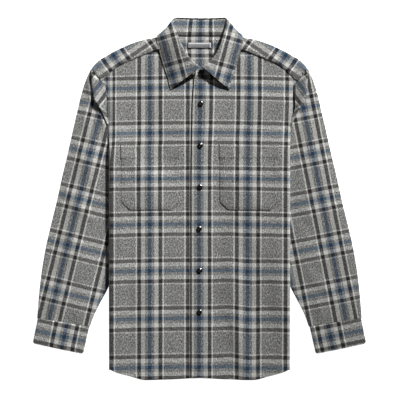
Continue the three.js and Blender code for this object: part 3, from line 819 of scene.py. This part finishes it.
def floor_white():
    nodes = Nodes("pale floor")
    tone = nodes.math("MULTIPLY_ADD", nodes.cloud(60.0, 2.0), 0.004, 0.9)
    base = nodes.add("ShaderNodeCombineXYZ", {0: tone, 1: tone, 2: tone}).outputs[0]
    glow = {"Emission Color": (1, 1, 1, 1), "Emission Strength": FLOOR_GLOW}
    return nodes.finish(base, 0.9, constants=glow)


FLANNEL = flannel()
THREAD = thread("sewing thread", 0.022, 0.06)
DARK_THREAD = thread("button thread", 0.004, 0.012)
LABEL_CLOTH = label_cloth()
RESIN = button_resin()


# Body panels


def turned_share(y):
    """1 where the side is turned under, 0 above the underarm."""
    return ramp(-y, -TURN_Y["flat"], -TURN_Y["turned"])


def body_side(side, depth, start, level, cell, hem_drop=0.0, top=None, middle=0.0):
    """Wall points of one side of a body panel, from start past its side edge to the turned-under edge.

    depth is how far inside the outermost layer it lies at the turned side.
    """
    rows = int(640 / cell)
    columns = int(190 / cell)
    arc_columns = 9
    turned_columns = int(70 / (2 * cell))
    v = np.linspace(0, 1, rows)[:, None]

    def low_end(x):
        return hem_height(np.abs(x)) + hem_drop

    def high_end(x):
        return front_top_height(np.abs(x)) if top is None else top + 0 * x

    def radius(y):
        low = sleeve_lift(SIDE_X, y)
        return (back_bottom(SIDE_X, y) + LAYER + CLOTH - low) / 2

    a = np.linspace(0, 1, columns)[None, :]
    y = mix(low_end(0 * a), high_end(0 * a + 0.01), v)
    for _ in range(6):
        edge = side_edge(y) - radius(y) * turned_share(y)
        if depth == 0 and side > 0:
            edge = edge + armhole_drop(y)
        begin = start(y)
        away = mix(begin, edge - 2.5 * (depth > 0) * (1 - turned_share(y)), a)
        y = mix(low_end(away), high_end(away), v)
    x = side * away
    bottom = level(x, y)
    centre, end_y, top_z = away[:, -1:], y[:, -1:], bottom[:, -1:] + CLOTH
    turn = turned_share(end_y)
    radii = radius(end_y) - depth, radius(end_y) - depth - CLOTH
    theta = math.pi * turn * np.linspace(0, 1, arc_columns + 1)[None, 1:]
    arc_flat = centre + radii[0] * theta

    share = np.linspace(0, 1, turned_columns + 1)[None, 1:] * turn
    from_x = centre + radii[0] * np.sin(math.pi * turn)
    turned_x = mix(from_x, np.minimum(turned_edge(end_y), from_x), share)
    flat_x = arc_flat[:, -1:] + (from_x - turned_x)
    hem_y = mix(low_end(flat_x), high_end(centre), v)
    lift = (sleeve_lift(turned_x, end_y) - sleeve_lift(SIDE_X, end_y)) * turn

    walls = []
    for r, inside in zip(radii, (0.0, CLOTH)):
        level_z = top_z - inside
        arc = stack(side * (centre + r * np.sin(theta)), end_y, level_z - r * (1 - np.cos(theta)))
        under = stack(side * turned_x, hem_y, level_z - r * (1 - np.cos(math.pi * turn)) + lift)
        walls.append(np.concatenate([stack(x, y, bottom + CLOTH - inside), arc, under], axis=1))
    cloth = [
        body_cloth(middle, x, y),
        body_cloth(middle, side * centre + 0 * theta, end_y + 0 * theta, side * arc_flat),
        body_cloth(middle, side * centre + 0 * turned_x, hem_y, side * flat_x),
    ]
    return walls[0], walls[1], np.concatenate(cloth, axis=1)


def front(side):
    name = SIDE_NAME[side]
    start = placket_edge if side > 0 else (lambda y: -PLACKET_STITCH + 0 * y)
    grids = body_side(
        side, 0.0, start, lambda x, y: front_bottom(side, x, y), CELL, middle=WARP_MIDDLE[name]
    )
    cut_piece(f"shirt_front_{name}", f"front_{name}", [grids])


def back():
    grids = [
        body_side(side, LAYER, lambda y: 0 * y, back_bottom, COARSE_CELL, hem_drop=2.0, top=YOKE_SEAM_Y)
        for side in (-1, 1)
    ]
    joined = [np.concatenate([left[:, ::-1], right[:, 1:]], axis=1) for left, right in zip(*grids)]
    cut_piece("shirt_back", "back", [joined])


def placket():
    y = np.linspace(0, 1, int(655 / CELL))[:, None]
    a = np.linspace(0, 1, 15)[None, :]
    level = mix(-394.0, 261.0, y)
    for _ in range(3):
        x = mix(placket_edge(level), PLACKET_STITCH, a)
        level = mix(hem_height(np.abs(x)), front_top_height(np.abs(x)), y)
    raised = band_raise(x, level)
    bottom = front_top(1, x, level) + LIFT + raised
    top = band_top(x, level) + raised
    grids = stack(x, level, top), stack(x, level, bottom), body_cloth(WARP_MIDDLE["band"], x, level)
    cut_piece("shirt_band", "front_placket", [grids])


def from_pocket_side(away):
    return np.minimum(away - POCKET["inner"], POCKET["outer"] - away)


def pocket_bottom_y(away):
    """Lower edge of a pocket, with its corners cut off."""
    return POCKET["bottom"] + np.maximum(POCKET["corner"] - from_pocket_side(away), 0) * 0.95


def pocket_levels(side, x, y):
    """Underside and top of a pocket: pressed flat at its edges, with a thick hem at its mouth."""
    away = np.abs(x)
    from_edge = from_pocket_side(away)
    near_edge = np.minimum(from_edge, y - pocket_bottom_y(away))
    band = ramp(y, POCKET["top"] - POCKET["band"] - 1.5, POCKET["top"] - POCKET["band"])
    slack = ramp(from_edge, 2, 40)
    puff = 0.45 * ramp(near_edge, 3, 30) * (1 + 0.3 * np.sin(x / 9 + y / 15))
    puff = puff + 0.5 * ramp(y, POCKET["top"] - 26, POCKET["top"]) * slack
    pinch = 0.12 * np.sin(y / 2.6 + 3 * side) * np.exp(-from_edge / 5)
    base = front_top(side, x, y) + 0.05 + 0.25 * ramp(near_edge, 1, 9) + puff + np.maximum(pinch, 0)
    pressed = 0.8 * (1 - ramp(near_edge, -1, 6)) * (1 - band)
    return base, base + CLOTH - pressed + 0.7 * band


def pocket(side):
    name = SIDE_NAME[side]
    rows = int((POCKET["top"] - POCKET["bottom"]) / 2.2)
    columns = int((POCKET["outer"] - POCKET["inner"]) / 2.2)
    v = np.linspace(0, 1, rows)[:, None]
    away = mix(POCKET["inner"], POCKET["outer"], np.linspace(0, 1, columns)[None, :])
    y = mix(pocket_bottom_y(away), POCKET["top"] + 0 * away, v)
    x = side * away + 0 * y
    base, top = pocket_levels(side, x, y)
    cloth = body_cloth(WARP_MIDDLE[name] + 0.8 * side, x, y + 0.6)
    grids = stack(x, y, top), stack(x, y, base), cloth
    cut_piece(f"shirt_pocket_{name}", f"pocket_{name}", [grids])


# Yoke

YOKE_NECK_Y = 356.5
YOKE_NECK_HALF = 68.0
YOKE_INSIDE = (1.1, 337.7)  # a blue crossing on its inside
YOKE_STRIP = {"origin": (-189.4, 314.2), "angle": 34.7}  # and on its left shoulder


def yoke_bottom(x, y):
    return 3.0 * ramp(y, 326, 344) * (1 - ramp(np.abs(x), 84, 106))


def yoke_back():
    a = np.linspace(-1, 1, 121)[None, :]
    v = np.linspace(0, 1, 44)[:, None]
    x = 236.0 * a + 0 * v
    away = np.abs(x)
    radius = CLOTH + GAP / 2
    start = np.where(away < 205, YOKE_SEAM_Y + SEAM, np.maximum(YOKE_SEAM_Y + SEAM, yoke_end_height(away)))
    high = np.where(away <= YOKE_NECK_HALF, YOKE_NECK_Y, shoulder_height(away) - radius)
    y = mix(start, np.maximum(high, start + 0.5), v)
    z = yoke_bottom(x, y)
    cloth = turned_cloth(stack(x, y, z), YOKE_INSIDE, 0)
    return stack(x, y, z + CLOTH), stack(x, y, z), cloth


def shoulder_strip(side):
    """The part of the yoke that comes over the shoulder and ends on top of the front."""
    a = np.linspace(0, 1, 66)[:, None]
    away = mix(71.0, 236.0, a)
    radius = CLOTH + GAP / 2
    high = shoulder_height(away) - radius
    rise = yoke_bottom(away, high)
    theta = math.pi * np.linspace(0, 1, 9)[None, :]
    outer_arc, inner_arc = [
        stack(side * away, high + r * np.sin(theta), rise + radius - r * np.cos(theta))
        for r in (radius, radius - CLOTH)
    ]
    seam = np.where(away > 216.7, yoke_end_height(away), front_top_height(away) - 2.2)
    share = np.linspace(0, 1, 15)[None, 1:]
    y = mix(high, np.minimum(seam, high - 0.5), share)
    over = 1.6 * ramp(front_top_height(away) + 14 - y, 0, 13) * (1 - ramp(away, 214, 224))
    pucker = 0.35 * np.sin(away / 1.9) * ramp(share, 0.6, 1)
    pucker = pucker + 0.3 * np.sin(away / 11) * np.sin(math.pi * share)
    near_end = (1 - ramp(y - yoke_end_height(away), 2, 13)) * ramp(away, 213, 219)
    scallop = 1.5 * (1 + np.sin((away + y) / 1.9)) * near_end
    puff = 0.9 * np.sin(math.pi * share) + np.maximum(pucker, -0.2) + scallop
    z = rise + LAYER + over + puff
    outer = np.concatenate([outer_arc, stack(side * away, y, z + CLOTH)], axis=1)
    inner = np.concatenate([inner_arc, stack(side * away, y, z)], axis=1)
    flat_y = np.concatenate([high + 2 * radius * (1 - theta / math.pi) + 0 * away, y], axis=1)
    flat = stack(away, flat_y, 0)
    flat[..., 0] *= -1
    cloth = turned_cloth(flat, YOKE_STRIP["origin"], YOKE_STRIP["angle"])
    for from_edge in (2, 4):
        row = outer[4:, -from_edge]
        sew("yoke", row, unit(row - inner[4:, -from_edge]))
    return outer, inner, cloth


def yoke():
    parts = [yoke_back(), shoulder_strip(-1), shoulder_strip(1)]
    cut_piece("shirt_yoke", "yoke", parts)


# Sleeves

SLEEVE_PLAID = {
    -1: {"origin": (-264.7, -0.7), "angle": -13.9, "scale": 104.3},
    1: {"origin": (268.4, -1.8), "angle": 11.3, "scale": 102.2},
}
SLEEVE_LENGTH = 590.0
SLEEVE_LOW = {-1: 234, 1: 216}  # where each sleeve has risen from beneath the side of the body
# How each sleeve stands up outside its cap fold, from its outer edge inwards or from the fold's outwards,
# and down to which cross line.
CAP_RIM = {
    -1: {"height": 2.2, "width": 4.5, "past_fold": 8.0, "rows": 1.0},
    1: {"height": 1.6, "width": 7.0, "inset": 5.0, "rows": 2.0},
}
CAP_PLAID = {"origin": (-218.9, 201.3), "angle": -35.0}
CAP_PLAID_SHIFT = 0.278  # in periods, both ways


def sleeve_place(k, u):
    """Place in plan at row k of the cross lines and share u of the way from the outer to the inner edge."""
    outer_x, outer_y, inner_x, inner_y = between_rows(SLEEVE, k, ("ox", "oy", "ix", "iy"))
    fade = np.maximum(0, 1 - k / HEAD_ROWS)
    head_x = curve(SLEEVE_HEAD, "u", "x")(u) - mix(SLEEVE[0]["ox"], SLEEVE[0]["ix"], u)
    head_y = curve(SLEEVE_HEAD, "u", "y")(u) - mix(SLEEVE[0]["oy"], SLEEVE[0]["iy"], u)
    x = mix(outer_x, inner_x, u) + head_x * fade
    y = mix(outer_y, inner_y, u) + head_y * fade
    return x, y, outer_x


def sleeve_raise(side, k, x, y, outer_x):
    """How high the upper layer of a sleeve lies where it shows beside the body."""
    share = np.clip((x - 206) / (outer_x - 206), 0, 1)
    low = SLEEVE_LOW[side]
    shows = ramp(x, low - 14, low)
    round_form = (4 * share * (1 - share)) ** 0.8
    round_form = round_form * mix(1, ramp(x, 198, low + 4), 1 - ramp(k, 10, 12))
    if side < 0:
        along = ramp(y, -195, -150)
        round_form = mix(round_form, np.sin(math.pi * share) ** 2, along)
    puff = 3.6 * round_form * ramp(k, 2, 6) * (1 - 0.25 * ramp(k, 11, 13))
    folds = creases(SLEEVE_CREASES[side], x, y) + ripple(x, y, side) * 0.8
    beside = ramp(outer_x - x, 1, 14)
    shape = CAP_RIM[side]
    crest = outer_x - shape["inset"] if side > 0 else cap_edge(y) + shape["past_fold"]
    rim = shape["height"] * np.exp(-(((crest - x) / shape["width"]) ** 2))
    rim = rim * ramp(k, 0.1, 1) * (1 - ramp(k, shape["rows"], shape["rows"] + 2)) * ramp(outer_x - x, 0, 4)
    return puff + rim + np.maximum(folds, -1.0) * shows * beside * ramp(k, 0.5, 2.5)


def flat_tube(side, x, y, top, way, thick, radius, turns, every=1):
    """Outer and inner points of a tube that lies flat: top layer, one side turned, under layer, other side.

    way leads in plan from its first column to its last one, turns are shares of a half turn.
    """

    def turned(column, sign, shares):
        theta = math.pi * np.array(shares)[None, :]
        for r in (radius, radius - thick):
            out = sign * r * np.sin(theta)
            place = [at[:, column][:, None] + along * out for at, along in zip((x, y), way)]
            yield stack(side * place[0], place[1], radius + r * np.cos(theta))

    upper = stack(side * x, y, top)
    under = stack(side * x[:, ::-every], y[:, ::-every], 0)
    last, last_inside = turned(-1, 1, turns)
    first, first_inside = turned(0, -1, turns[::-1])
    wall_up = np.array([0, 0, thick])
    outer = [upper + wall_up, last, under, first, upper[:, :1] + wall_up]
    inner = [upper, last_inside, under + wall_up, first_inside, upper[:, :1]]
    return np.concatenate(outer, axis=1), np.concatenate(inner, axis=1)


def sleeve(side):
    name = SIDE_NAME[side]
    k = np.linspace(0, len(SLEEVE) - 1, int(SLEEVE_LENGTH / CELL))[:, None]
    u = (1 - np.cos(np.linspace(0, math.pi, 52))) / 2
    u = mix(u, np.linspace(0, 1, 52), 0.6)[None, :]
    radius = CLOTH + GAP / 2
    x, y, outer_x = sleeve_place(k, u)
    lift = sleeve_raise(side, k, x, y, outer_x)
    across = unit(np.stack([x[:, -1:] - x[:, :1], y[:, -1:] - y[:, :1]], axis=-1))
    way = across[..., 0], across[..., 1]
    outer, inner = flat_tube(side, x, y, LAYER + lift, way, CLOTH, radius, [0.15, 0.3, 0.5, 0.7, 0.85], 2)
    cloth = turned_cloth(outer, **SLEEVE_PLAID[side])
    below = x.shape[1] + 5
    cloth[:, below:-1, 0] = 2 * cloth[:, :1, 0] - cloth[:, below:-1, 0]
    parts = [(outer, inner, cloth), cap_fold(side)]
    cut_piece(f"shirt_sleeve_{name}", f"sleeve_{name}", parts, tube=True)


def cap_fold(side):
    """The cloth of the sleeve cap that folds over the arm beside the armhole, its edge rolled under."""
    k = np.linspace(0, len(CAP_FOLD) - 1, 60)[:, None]
    free_x, free_y, seam_x, seam_y, rise = between_rows(CAP_FOLD, k, ("fx", "fy", "ax", "ay", "rise"))
    if side > 0:
        seam_x = seam_x + armhole_drop(seam_y)
    step = np.linspace(0, len(CAP_SECTION) - 1, 34)[None, :]
    share, up = between_rows(CAP_SECTION, step, ("share", "up"))
    x = mix(seam_x, free_x, share)
    y = mix(seam_y, free_y, share)
    uneven = 1.0 + 0.25 * np.sin(k * 2.3) + 0.8 / 6 * np.sin(y / 6)
    points = stack(side * x, y, CAP_BASE + rise * up * uneven)
    flat = stack(-x, y, 0)
    along = np.cumsum(np.abs(np.diff(share, prepend=0)), axis=1)
    flat[..., 0] -= np.maximum(along - share, 0) * (free_x - seam_x)
    cloth = turned_cloth(flat, **CAP_PLAID) + CAP_PLAID_SHIFT
    return thicken(points, cloth, CLOTH)


CUFF_PLAID = {
    -1: {"origin": (-297.2, -303.6), "angle": -12.0, "scale": PERIOD},
    1: {"origin": (287.5, -304.0), "angle": 12.0, "scale": PERIOD},
}


def cuff(side):
    name = SIDE_NAME[side]
    down = np.linspace(0, 1, 24)[:, None]
    inset = 3.2 * ramp(down, 0.93, 1.0) ** 2
    start = [mix(a, b, down) for a, b in zip(CUFF["top_outer"], CUFF["end_outer"])]
    end = [mix(a, b, down) for a, b in zip(CUFF["top_inner"], CUFF["end_inner"])]
    span = np.hypot(end[0] - start[0], end[1] - start[1])
    way = [(b - a) / span for a, b in zip(start, end)]
    radius = CUFF_CLOTH + CUFF_HOLLOW / 2
    share = np.linspace(0, 1, 42)[None, :]
    reach = mix(radius + inset, span - radius - inset, share)
    x = start[0] + way[0] * reach
    y = start[1] + way[1] * reach
    edge = np.minimum(down, 1 - down)
    pillow = 0.5 * ramp(edge, 0.03, 0.2) + 0.15 * np.sin(share * 34 + 3 * down) * np.exp(-edge * 16)
    bulge = 1.7 * np.sin(share * math.pi) + pillow
    top = CUFF_CLOTH + CUFF_HOLLOW + bulge
    outer, inner = flat_tube(side, x, y, top, way, CUFF_CLOTH, radius, [0.12, 0.3, 0.5, 0.7, 0.88])
    for row in (2, -4):
        sew("cuffs", outer[row, 1:x.shape[1] - 1])
    parts = [(outer, inner, turned_cloth(outer, **CUFF_PLAID[side]))]
    cut_piece(f"shirt_cuff_{name}", f"cuff_{name}", parts, tube=True)


# Collar


def both_sides(rows):
    """Collar stations of both sides, from those between the middle of the back and one front."""
    return [dict(row, nx=-row["nx"], rx=-row["rx"], ex=-row["ex"]) for row in rows[:0:-1]] + rows


def dense(rows, part, steps=6):
    """A smooth line of points through one part of a table of stations."""
    k = np.linspace(0, len(rows) - 1, (len(rows) - 1) * steps + 1)
    return np.stack(between_rows(rows, k, [part + axis for axis in "xyz"]), axis=-1)


def stand_frames(rows):
    seam = dense(rows, "n")
    top = dense(rows, "r")
    top[:, 0] += NECK_LEAN * (0.45 + 0.55 * ramp(-top[:, 1], -375, -305))
    up = unit(top - seam)
    inward = unit(np.cross(np.gradient(top, axis=0), up))
    return seam, top, up, inward


COLLAR_PLAID = {
    -1: {"origin": (-59.4, 271.5), "angle": 15.3, "scale": PERIOD},
    1: {"origin": (63.6, 265.5), "angle": -15.3, "scale": PERIOD},
}
STAND_PLAID = (1.1, 384.0)
STAND_SEAM_Y = 357.0
LEAF_HIDDEN_ROWS = 30  # rows of the leaf that lie beneath the back of the collar


def stand():
    rows = STAND_BENEATH[::-1] + both_sides(COLLAR) + STAND_OVER
    seam, top, _, inward = stand_frames(rows)
    share = np.linspace(0, 0.96, 14)[None, :, None]
    points = mix(seam[:, None], top[:, None], share)
    points = points + inward[:, None] * 0.35 * np.sin(math.pi * share)
    offset = inward[:, None] * COLLAR_CLOTH / 2
    along = np.concatenate([[0], np.cumsum(np.linalg.norm(np.diff(seam, axis=0), axis=-1))])
    along = along - along[len(along) // 2]
    height = np.linalg.norm(points - seam[:, None], axis=-1)
    across = (along[:, None] + 0 * height - STAND_PLAID[0]) / PERIOD
    cloth = np.stack([across, (height + STAND_SEAM_Y - STAND_PLAID[1]) / PERIOD], axis=-1)
    parts = [(points + offset, points - offset, cloth)]
    cut_piece("shirt_collar_stand", "collar_stand", parts)


def leaf_grid(side):
    """Middle points of one half of the leaf: rows from the middle of the back to the front edge."""
    both = both_sides(COLLAR + [LEAF_FRONT])
    _, top, up, inward = stand_frames(both)
    edge = dense(both, "e")
    edge[:, 0] += 2.0 * ramp(edge[:, 0], 20, 60)
    roll = [top + up * row["up"] - inward * row["out"] for row in ROLL]
    share = np.linspace(0, 1, 24)[1:]
    swell = ramp(top[:, 2], 6, 12)
    line = roll
    for s in share:
        point = mix(roll[len(ROLL) - 1], edge, s)
        point[:, 2] += (LEAF_SWELL * math.sin(math.pi * s)) * swell
        line.append(point)
    points = np.stack(line, axis=1)
    half = len(points) // 2
    return points[half:] if side > 0 else points[: half + 1]


def leaf():
    parts = []
    for side in (-1, 1):
        points = leaf_grid(side)
        part = thicken(points, turned_cloth(points, **COLLAR_PLAID[side]), COLLAR_CLOTH)
        outer, inner = part[:2]
        shows = slice(LEAF_HIDDEN_ROWS, None) if side > 0 else slice(None, -LEAF_HIDDEN_ROWS)
        front_row = -3 if side > 0 else 2
        for line in ((shows, -3), (front_row, slice(6, -3))):
            sew("collar", outer[line], unit(outer[line] - inner[line]))
        parts.append(part)
    cut_piece("shirt_collar_leaf", "collar_leaf", parts)


# Label and buttons


def neck_label():
    x = np.linspace(-LABEL["half"], LABEL["half"], 40)[None, :]
    y = np.linspace(LABEL["bottom"], LABEL["top"], 10)[:, None]
    ends = LABEL["half"] - np.abs(x)
    lift = GAP + 0.5 * np.sin(math.pi * (y - LABEL["bottom"]) / 10.2) * ramp(ends, 0.5, 4)
    z = yoke_bottom(x, y) + CLOTH + lift
    fold = 0.35 * (1 - ramp(ends, 4.5, 5.5))
    cloth = np.stack(np.broadcast_arrays(x, y - (LABEL["bottom"] + LABEL["top"]) / 2), axis=-1)
    grids = stack(x, y, z + LABEL["thick"] + fold), stack(x, y, z), cloth
    cut_piece("shirt_neck_label", "neck_label", [grids], slot="label")


def button_mesh():
    """A four-hole button with a rounded rim and a dished face."""
    radius, thick, dish, rim = (BUTTON[name] for name in ("radius", "thick", "dish", "rim"))
    slope = math.tan(math.radians(BUTTON["slope"]))
    edge = thick - rim * slope
    bevel = [(share, slope * (1.08 * share - 0.08 * share**2)) for share in (0.0, 0.25, 0.5, 0.75, 1.0)]
    profile = [(0.0, 0.0), (radius - 1.2, 0.0), (radius - 0.35, 0.35), (radius, edge - 0.5)]
    profile += [(radius - 0.15 - rim * share, edge + rim * rise) for share, rise in bevel]
    profile += [(radius - 1.35 * rim, thick), (radius - 1.5 * rim, thick - dish), (0.0, thick - dish - 0.1)]
    turned = bpy.data.meshes.new("button")
    edit = bmesh.new()
    line = [edit.verts.new((r * MM, 0, z * MM)) for r, z in profile]
    edges = [edit.edges.new(pair) for pair in zip(line[:-1], line[1:])]
    bmesh.ops.spin(edit, geom=line + edges, cent=(0, 0, 0), axis=(0, 0, 1), angle=2 * math.pi, steps=48)
    bmesh.ops.remove_doubles(edit, verts=edit.verts, dist=1e-6)
    bmesh.ops.recalc_face_normals(edit, faces=edit.faces)
    edit.to_mesh(turned)
    edit.free()
    bores = bpy.data.meshes.new("bores")
    edit = bmesh.new()
    hole = BUTTON["hole"] * MM
    for angle in HOLE_ANGLES:
        place = Matrix.Translation(Vector((math.cos(angle), math.sin(angle), 0)) * HOLE_REACH * MM)
        bmesh.ops.create_cone(
            edit, cap_ends=True, segments=16, radius1=hole, radius2=hole, depth=0.01, matrix=place
        )
    edit.to_mesh(bores)
    edit.free()
    blank, cutter = add_object("blank", turned), add_object("cutter", bores)
    cut = blank.modifiers.new("bores", "BOOLEAN")
    cut.object = cutter
    cut.operation = "DIFFERENCE"
    cut.solver = "EXACT"
    made = bpy.data.meshes.new_from_object(blank.evaluated_get(bpy.context.evaluated_depsgraph_get()))
    for spare in (blank, cutter):
        bpy.data.objects.remove(spare)
    smooth(made, 30)
    made.materials.clear()
    made.materials.append(RESIN)
    return made


def button_thread(x, y, z, turn):
    """Two doubled threads across the holes of a button."""
    share = np.linspace(-1, 1, 9)
    crosses = []
    for layer, angle in enumerate(HOLE_ANGLES[:2]):
        c, s = math.cos(turn + angle), math.sin(turn + angle)
        top = z + BUTTON["thick"] - BUTTON["dish"] + 0.45 - 0.9 * share**8 + 0.12 * layer
        for shift in (-BUTTON_THREAD, BUTTON_THREAD):
            along = HOLE_REACH * share
            line = stack(x + along * c - shift * s, y + along * s + shift * c, top)
            crosses.append(tube(line[None], BUTTON_THREAD))
    return crosses


def buttons():
    mesh = button_mesh()
    places = [("button_stand", *STAND_BUTTON)]
    for k, x in enumerate(BUTTON_DRIFT):
        y = TOP_BUTTON_Y - k * BUTTON_PITCH
        z = float(band_top(np.array(0.0), np.array(y))) + LIFT
        places.append((f"button_{k + 1}", x, y, z, 0.0))
    for index, (node, x, y, z, tilt) in enumerate(places):
        turn = 0.3 * math.sin(3.1 * index + 1)
        place = Matrix.Translation(Vector((x, y, z)) * MM)
        made = mesh.copy()
        made.transform(place @ Matrix.Rotation(tilt, 4, "X") @ Matrix.Rotation(turn, 4, "Z"))
        finish_piece(add_object(f"shirt_{node}", made), "button", node)
        cross = mesh_object(f"shirt_{node}_thread", button_thread(x, y, z, turn), DARK_THREAD, 80)
        finish_piece(cross, "flannel")


# Sewing


def front_seams():
    y = np.linspace(-392, 259, 400)
    for x in (placket_edge(y) + 5.2, PLACKET_STITCH - 5.2 + 0 * y):
        low = np.maximum(y, hem_height(np.abs(x)) + 2)
        sew("front", stack(x, low, band_top(x, low) + band_raise(x, low)))
    for side in (-1, 1):
        x = side * np.linspace(22, 188, 120)
        hem = hem_height(np.abs(x)) + 7.0
        sew("front", stack(x, hem, front_top(side, x, hem)))


def buttonholes():
    """Two close rows of thread along each buttonhole, which runs up the band under its button."""
    for k in range(6):
        y = TOP_BUTTON_Y - k * BUTTON_PITCH + np.linspace(-8.5, 8.5, 12)
        for x in (BUTTON_DRIFT[k] - 0.6, BUTTON_DRIFT[k] + 0.6):
            sew("buttonholes", stack(x, y, band_top(x, y)), length=1.2, gap=0.15, radius=0.3)


def pocket_line(side, inset):
    """Sides and bottom of a pocket, at a distance inside its edge."""
    low = POCKET["bottom"] + inset
    near = POCKET["inner"] + inset
    far = POCKET["outer"] - inset
    cut = POCKET["corner"] - 0.4 * inset
    top = POCKET["top"] - 0.5
    corners = [(near, top), (near, low + cut), (near + cut, low)]
    corners += [(far - cut, low), (far, low + cut), (far, top)]
    xs, ys = [], []
    for (x1, y1), (x2, y2) in zip(corners[:-1], corners[1:]):
        steps = max(2, int(math.hypot(x2 - x1, y2 - y1) / 2))
        xs.extend(np.linspace(x1, x2, steps, endpoint=False))
        ys.extend(np.linspace(y1, y2, steps, endpoint=False))
    return side * np.array(xs), np.array(ys)


def pocket_seams():
    for side in (-1, 1):
        lines = [pocket_line(side, inset) for inset in (1.6, 7.5)]
        x = side * np.linspace(POCKET["inner"] + 2, POCKET["outer"] - 2, 90)
        lines.append((x, POCKET["top"] - POCKET["band"] + 2.5 + 0 * x))
        for x, y in lines:
            sew("pockets", stack(x, y, pocket_levels(side, x, y)[1]))


def sewing():
    front_seams()
    buttonholes()
    pocket_seams()
    for name, lines in SEWN.items():
        piece = mesh_object(f"shirt_stitching_{name}", lines, THREAD, 80)
        finish_piece(piece, "flannel")


# Scene


def camera():
    data = bpy.data.cameras.new("camera")
    data.sensor_width = SENSOR
    data.lens = SENSOR * CAMERA_HEIGHT / VIEW_WIDTH
    data.clip_end = 50
    eye = add_object("camera", data)
    eye.location = (VIEW_CENTRE[0] * MM, VIEW_CENTRE[1] * MM, CAMERA_HEIGHT * MM)
    bpy.context.scene.camera = eye


def lamp(name, kind, place, target, power):
    """A lamp at a place that points at a target, both in metres."""
    data = bpy.data.lights.new(name, kind)
    data.energy = power
    made = add_object(name, data)
    made.location = place
    made.rotation_euler = (Vector(target) - Vector(place)).to_track_quat("-Z", "Y").to_euler()
    made.visible_camera = False
    return data


def lights():
    place = Vector(KEY_TARGET) + Vector(KEY_WAY).normalized() * KEY_DISTANCE
    key = lamp("key", "SPOT", place, KEY_TARGET, KEY_POWER)
    key.spot_size = math.radians(KEY_CONE)
    key.spot_blend = 1.0
    key.shadow_soft_size = KEY_SOFTNESS * KEY_DISTANCE
    fill = lamp("fill", "AREA", FILL_PLACE, (0.0, 0.0, 0.0), FILL_POWER)
    fill.shape = "DISK"
    fill.size = FILL_SIZE
    world = bpy.data.worlds.new("studio")
    world.use_nodes = True
    background = world.node_tree.nodes["Background"].inputs
    background["Color"].default_value = (1, 1, 1, 1)
    background["Strength"].default_value = WORLD_LIGHT
    bpy.context.scene.world = world
    bpy.context.scene.view_settings.view_transform = "Standard"


def floor():
    mesh = bpy.data.meshes.new("floor")
    corners = [(FLOOR_HALF * x, FLOOR_HALF * y, 0) for x, y in ((-1, -1), (1, -1), (1, 1), (-1, 1))]
    mesh.from_pydata(corners, [], [(0, 1, 2, 3)])
    mesh.materials.append(floor_white())
    piece = add_object("floor", mesh)
    piece.location.z = -FLOOR_DROP * MM


camera()
lights()
floor()
back()
yoke()
for side in (-1, 1):
    front(side)
    pocket(side)
    sleeve(side)
    cuff(side)
placket()
stand()
leaf()
neck_label()
buttons()
sewing()
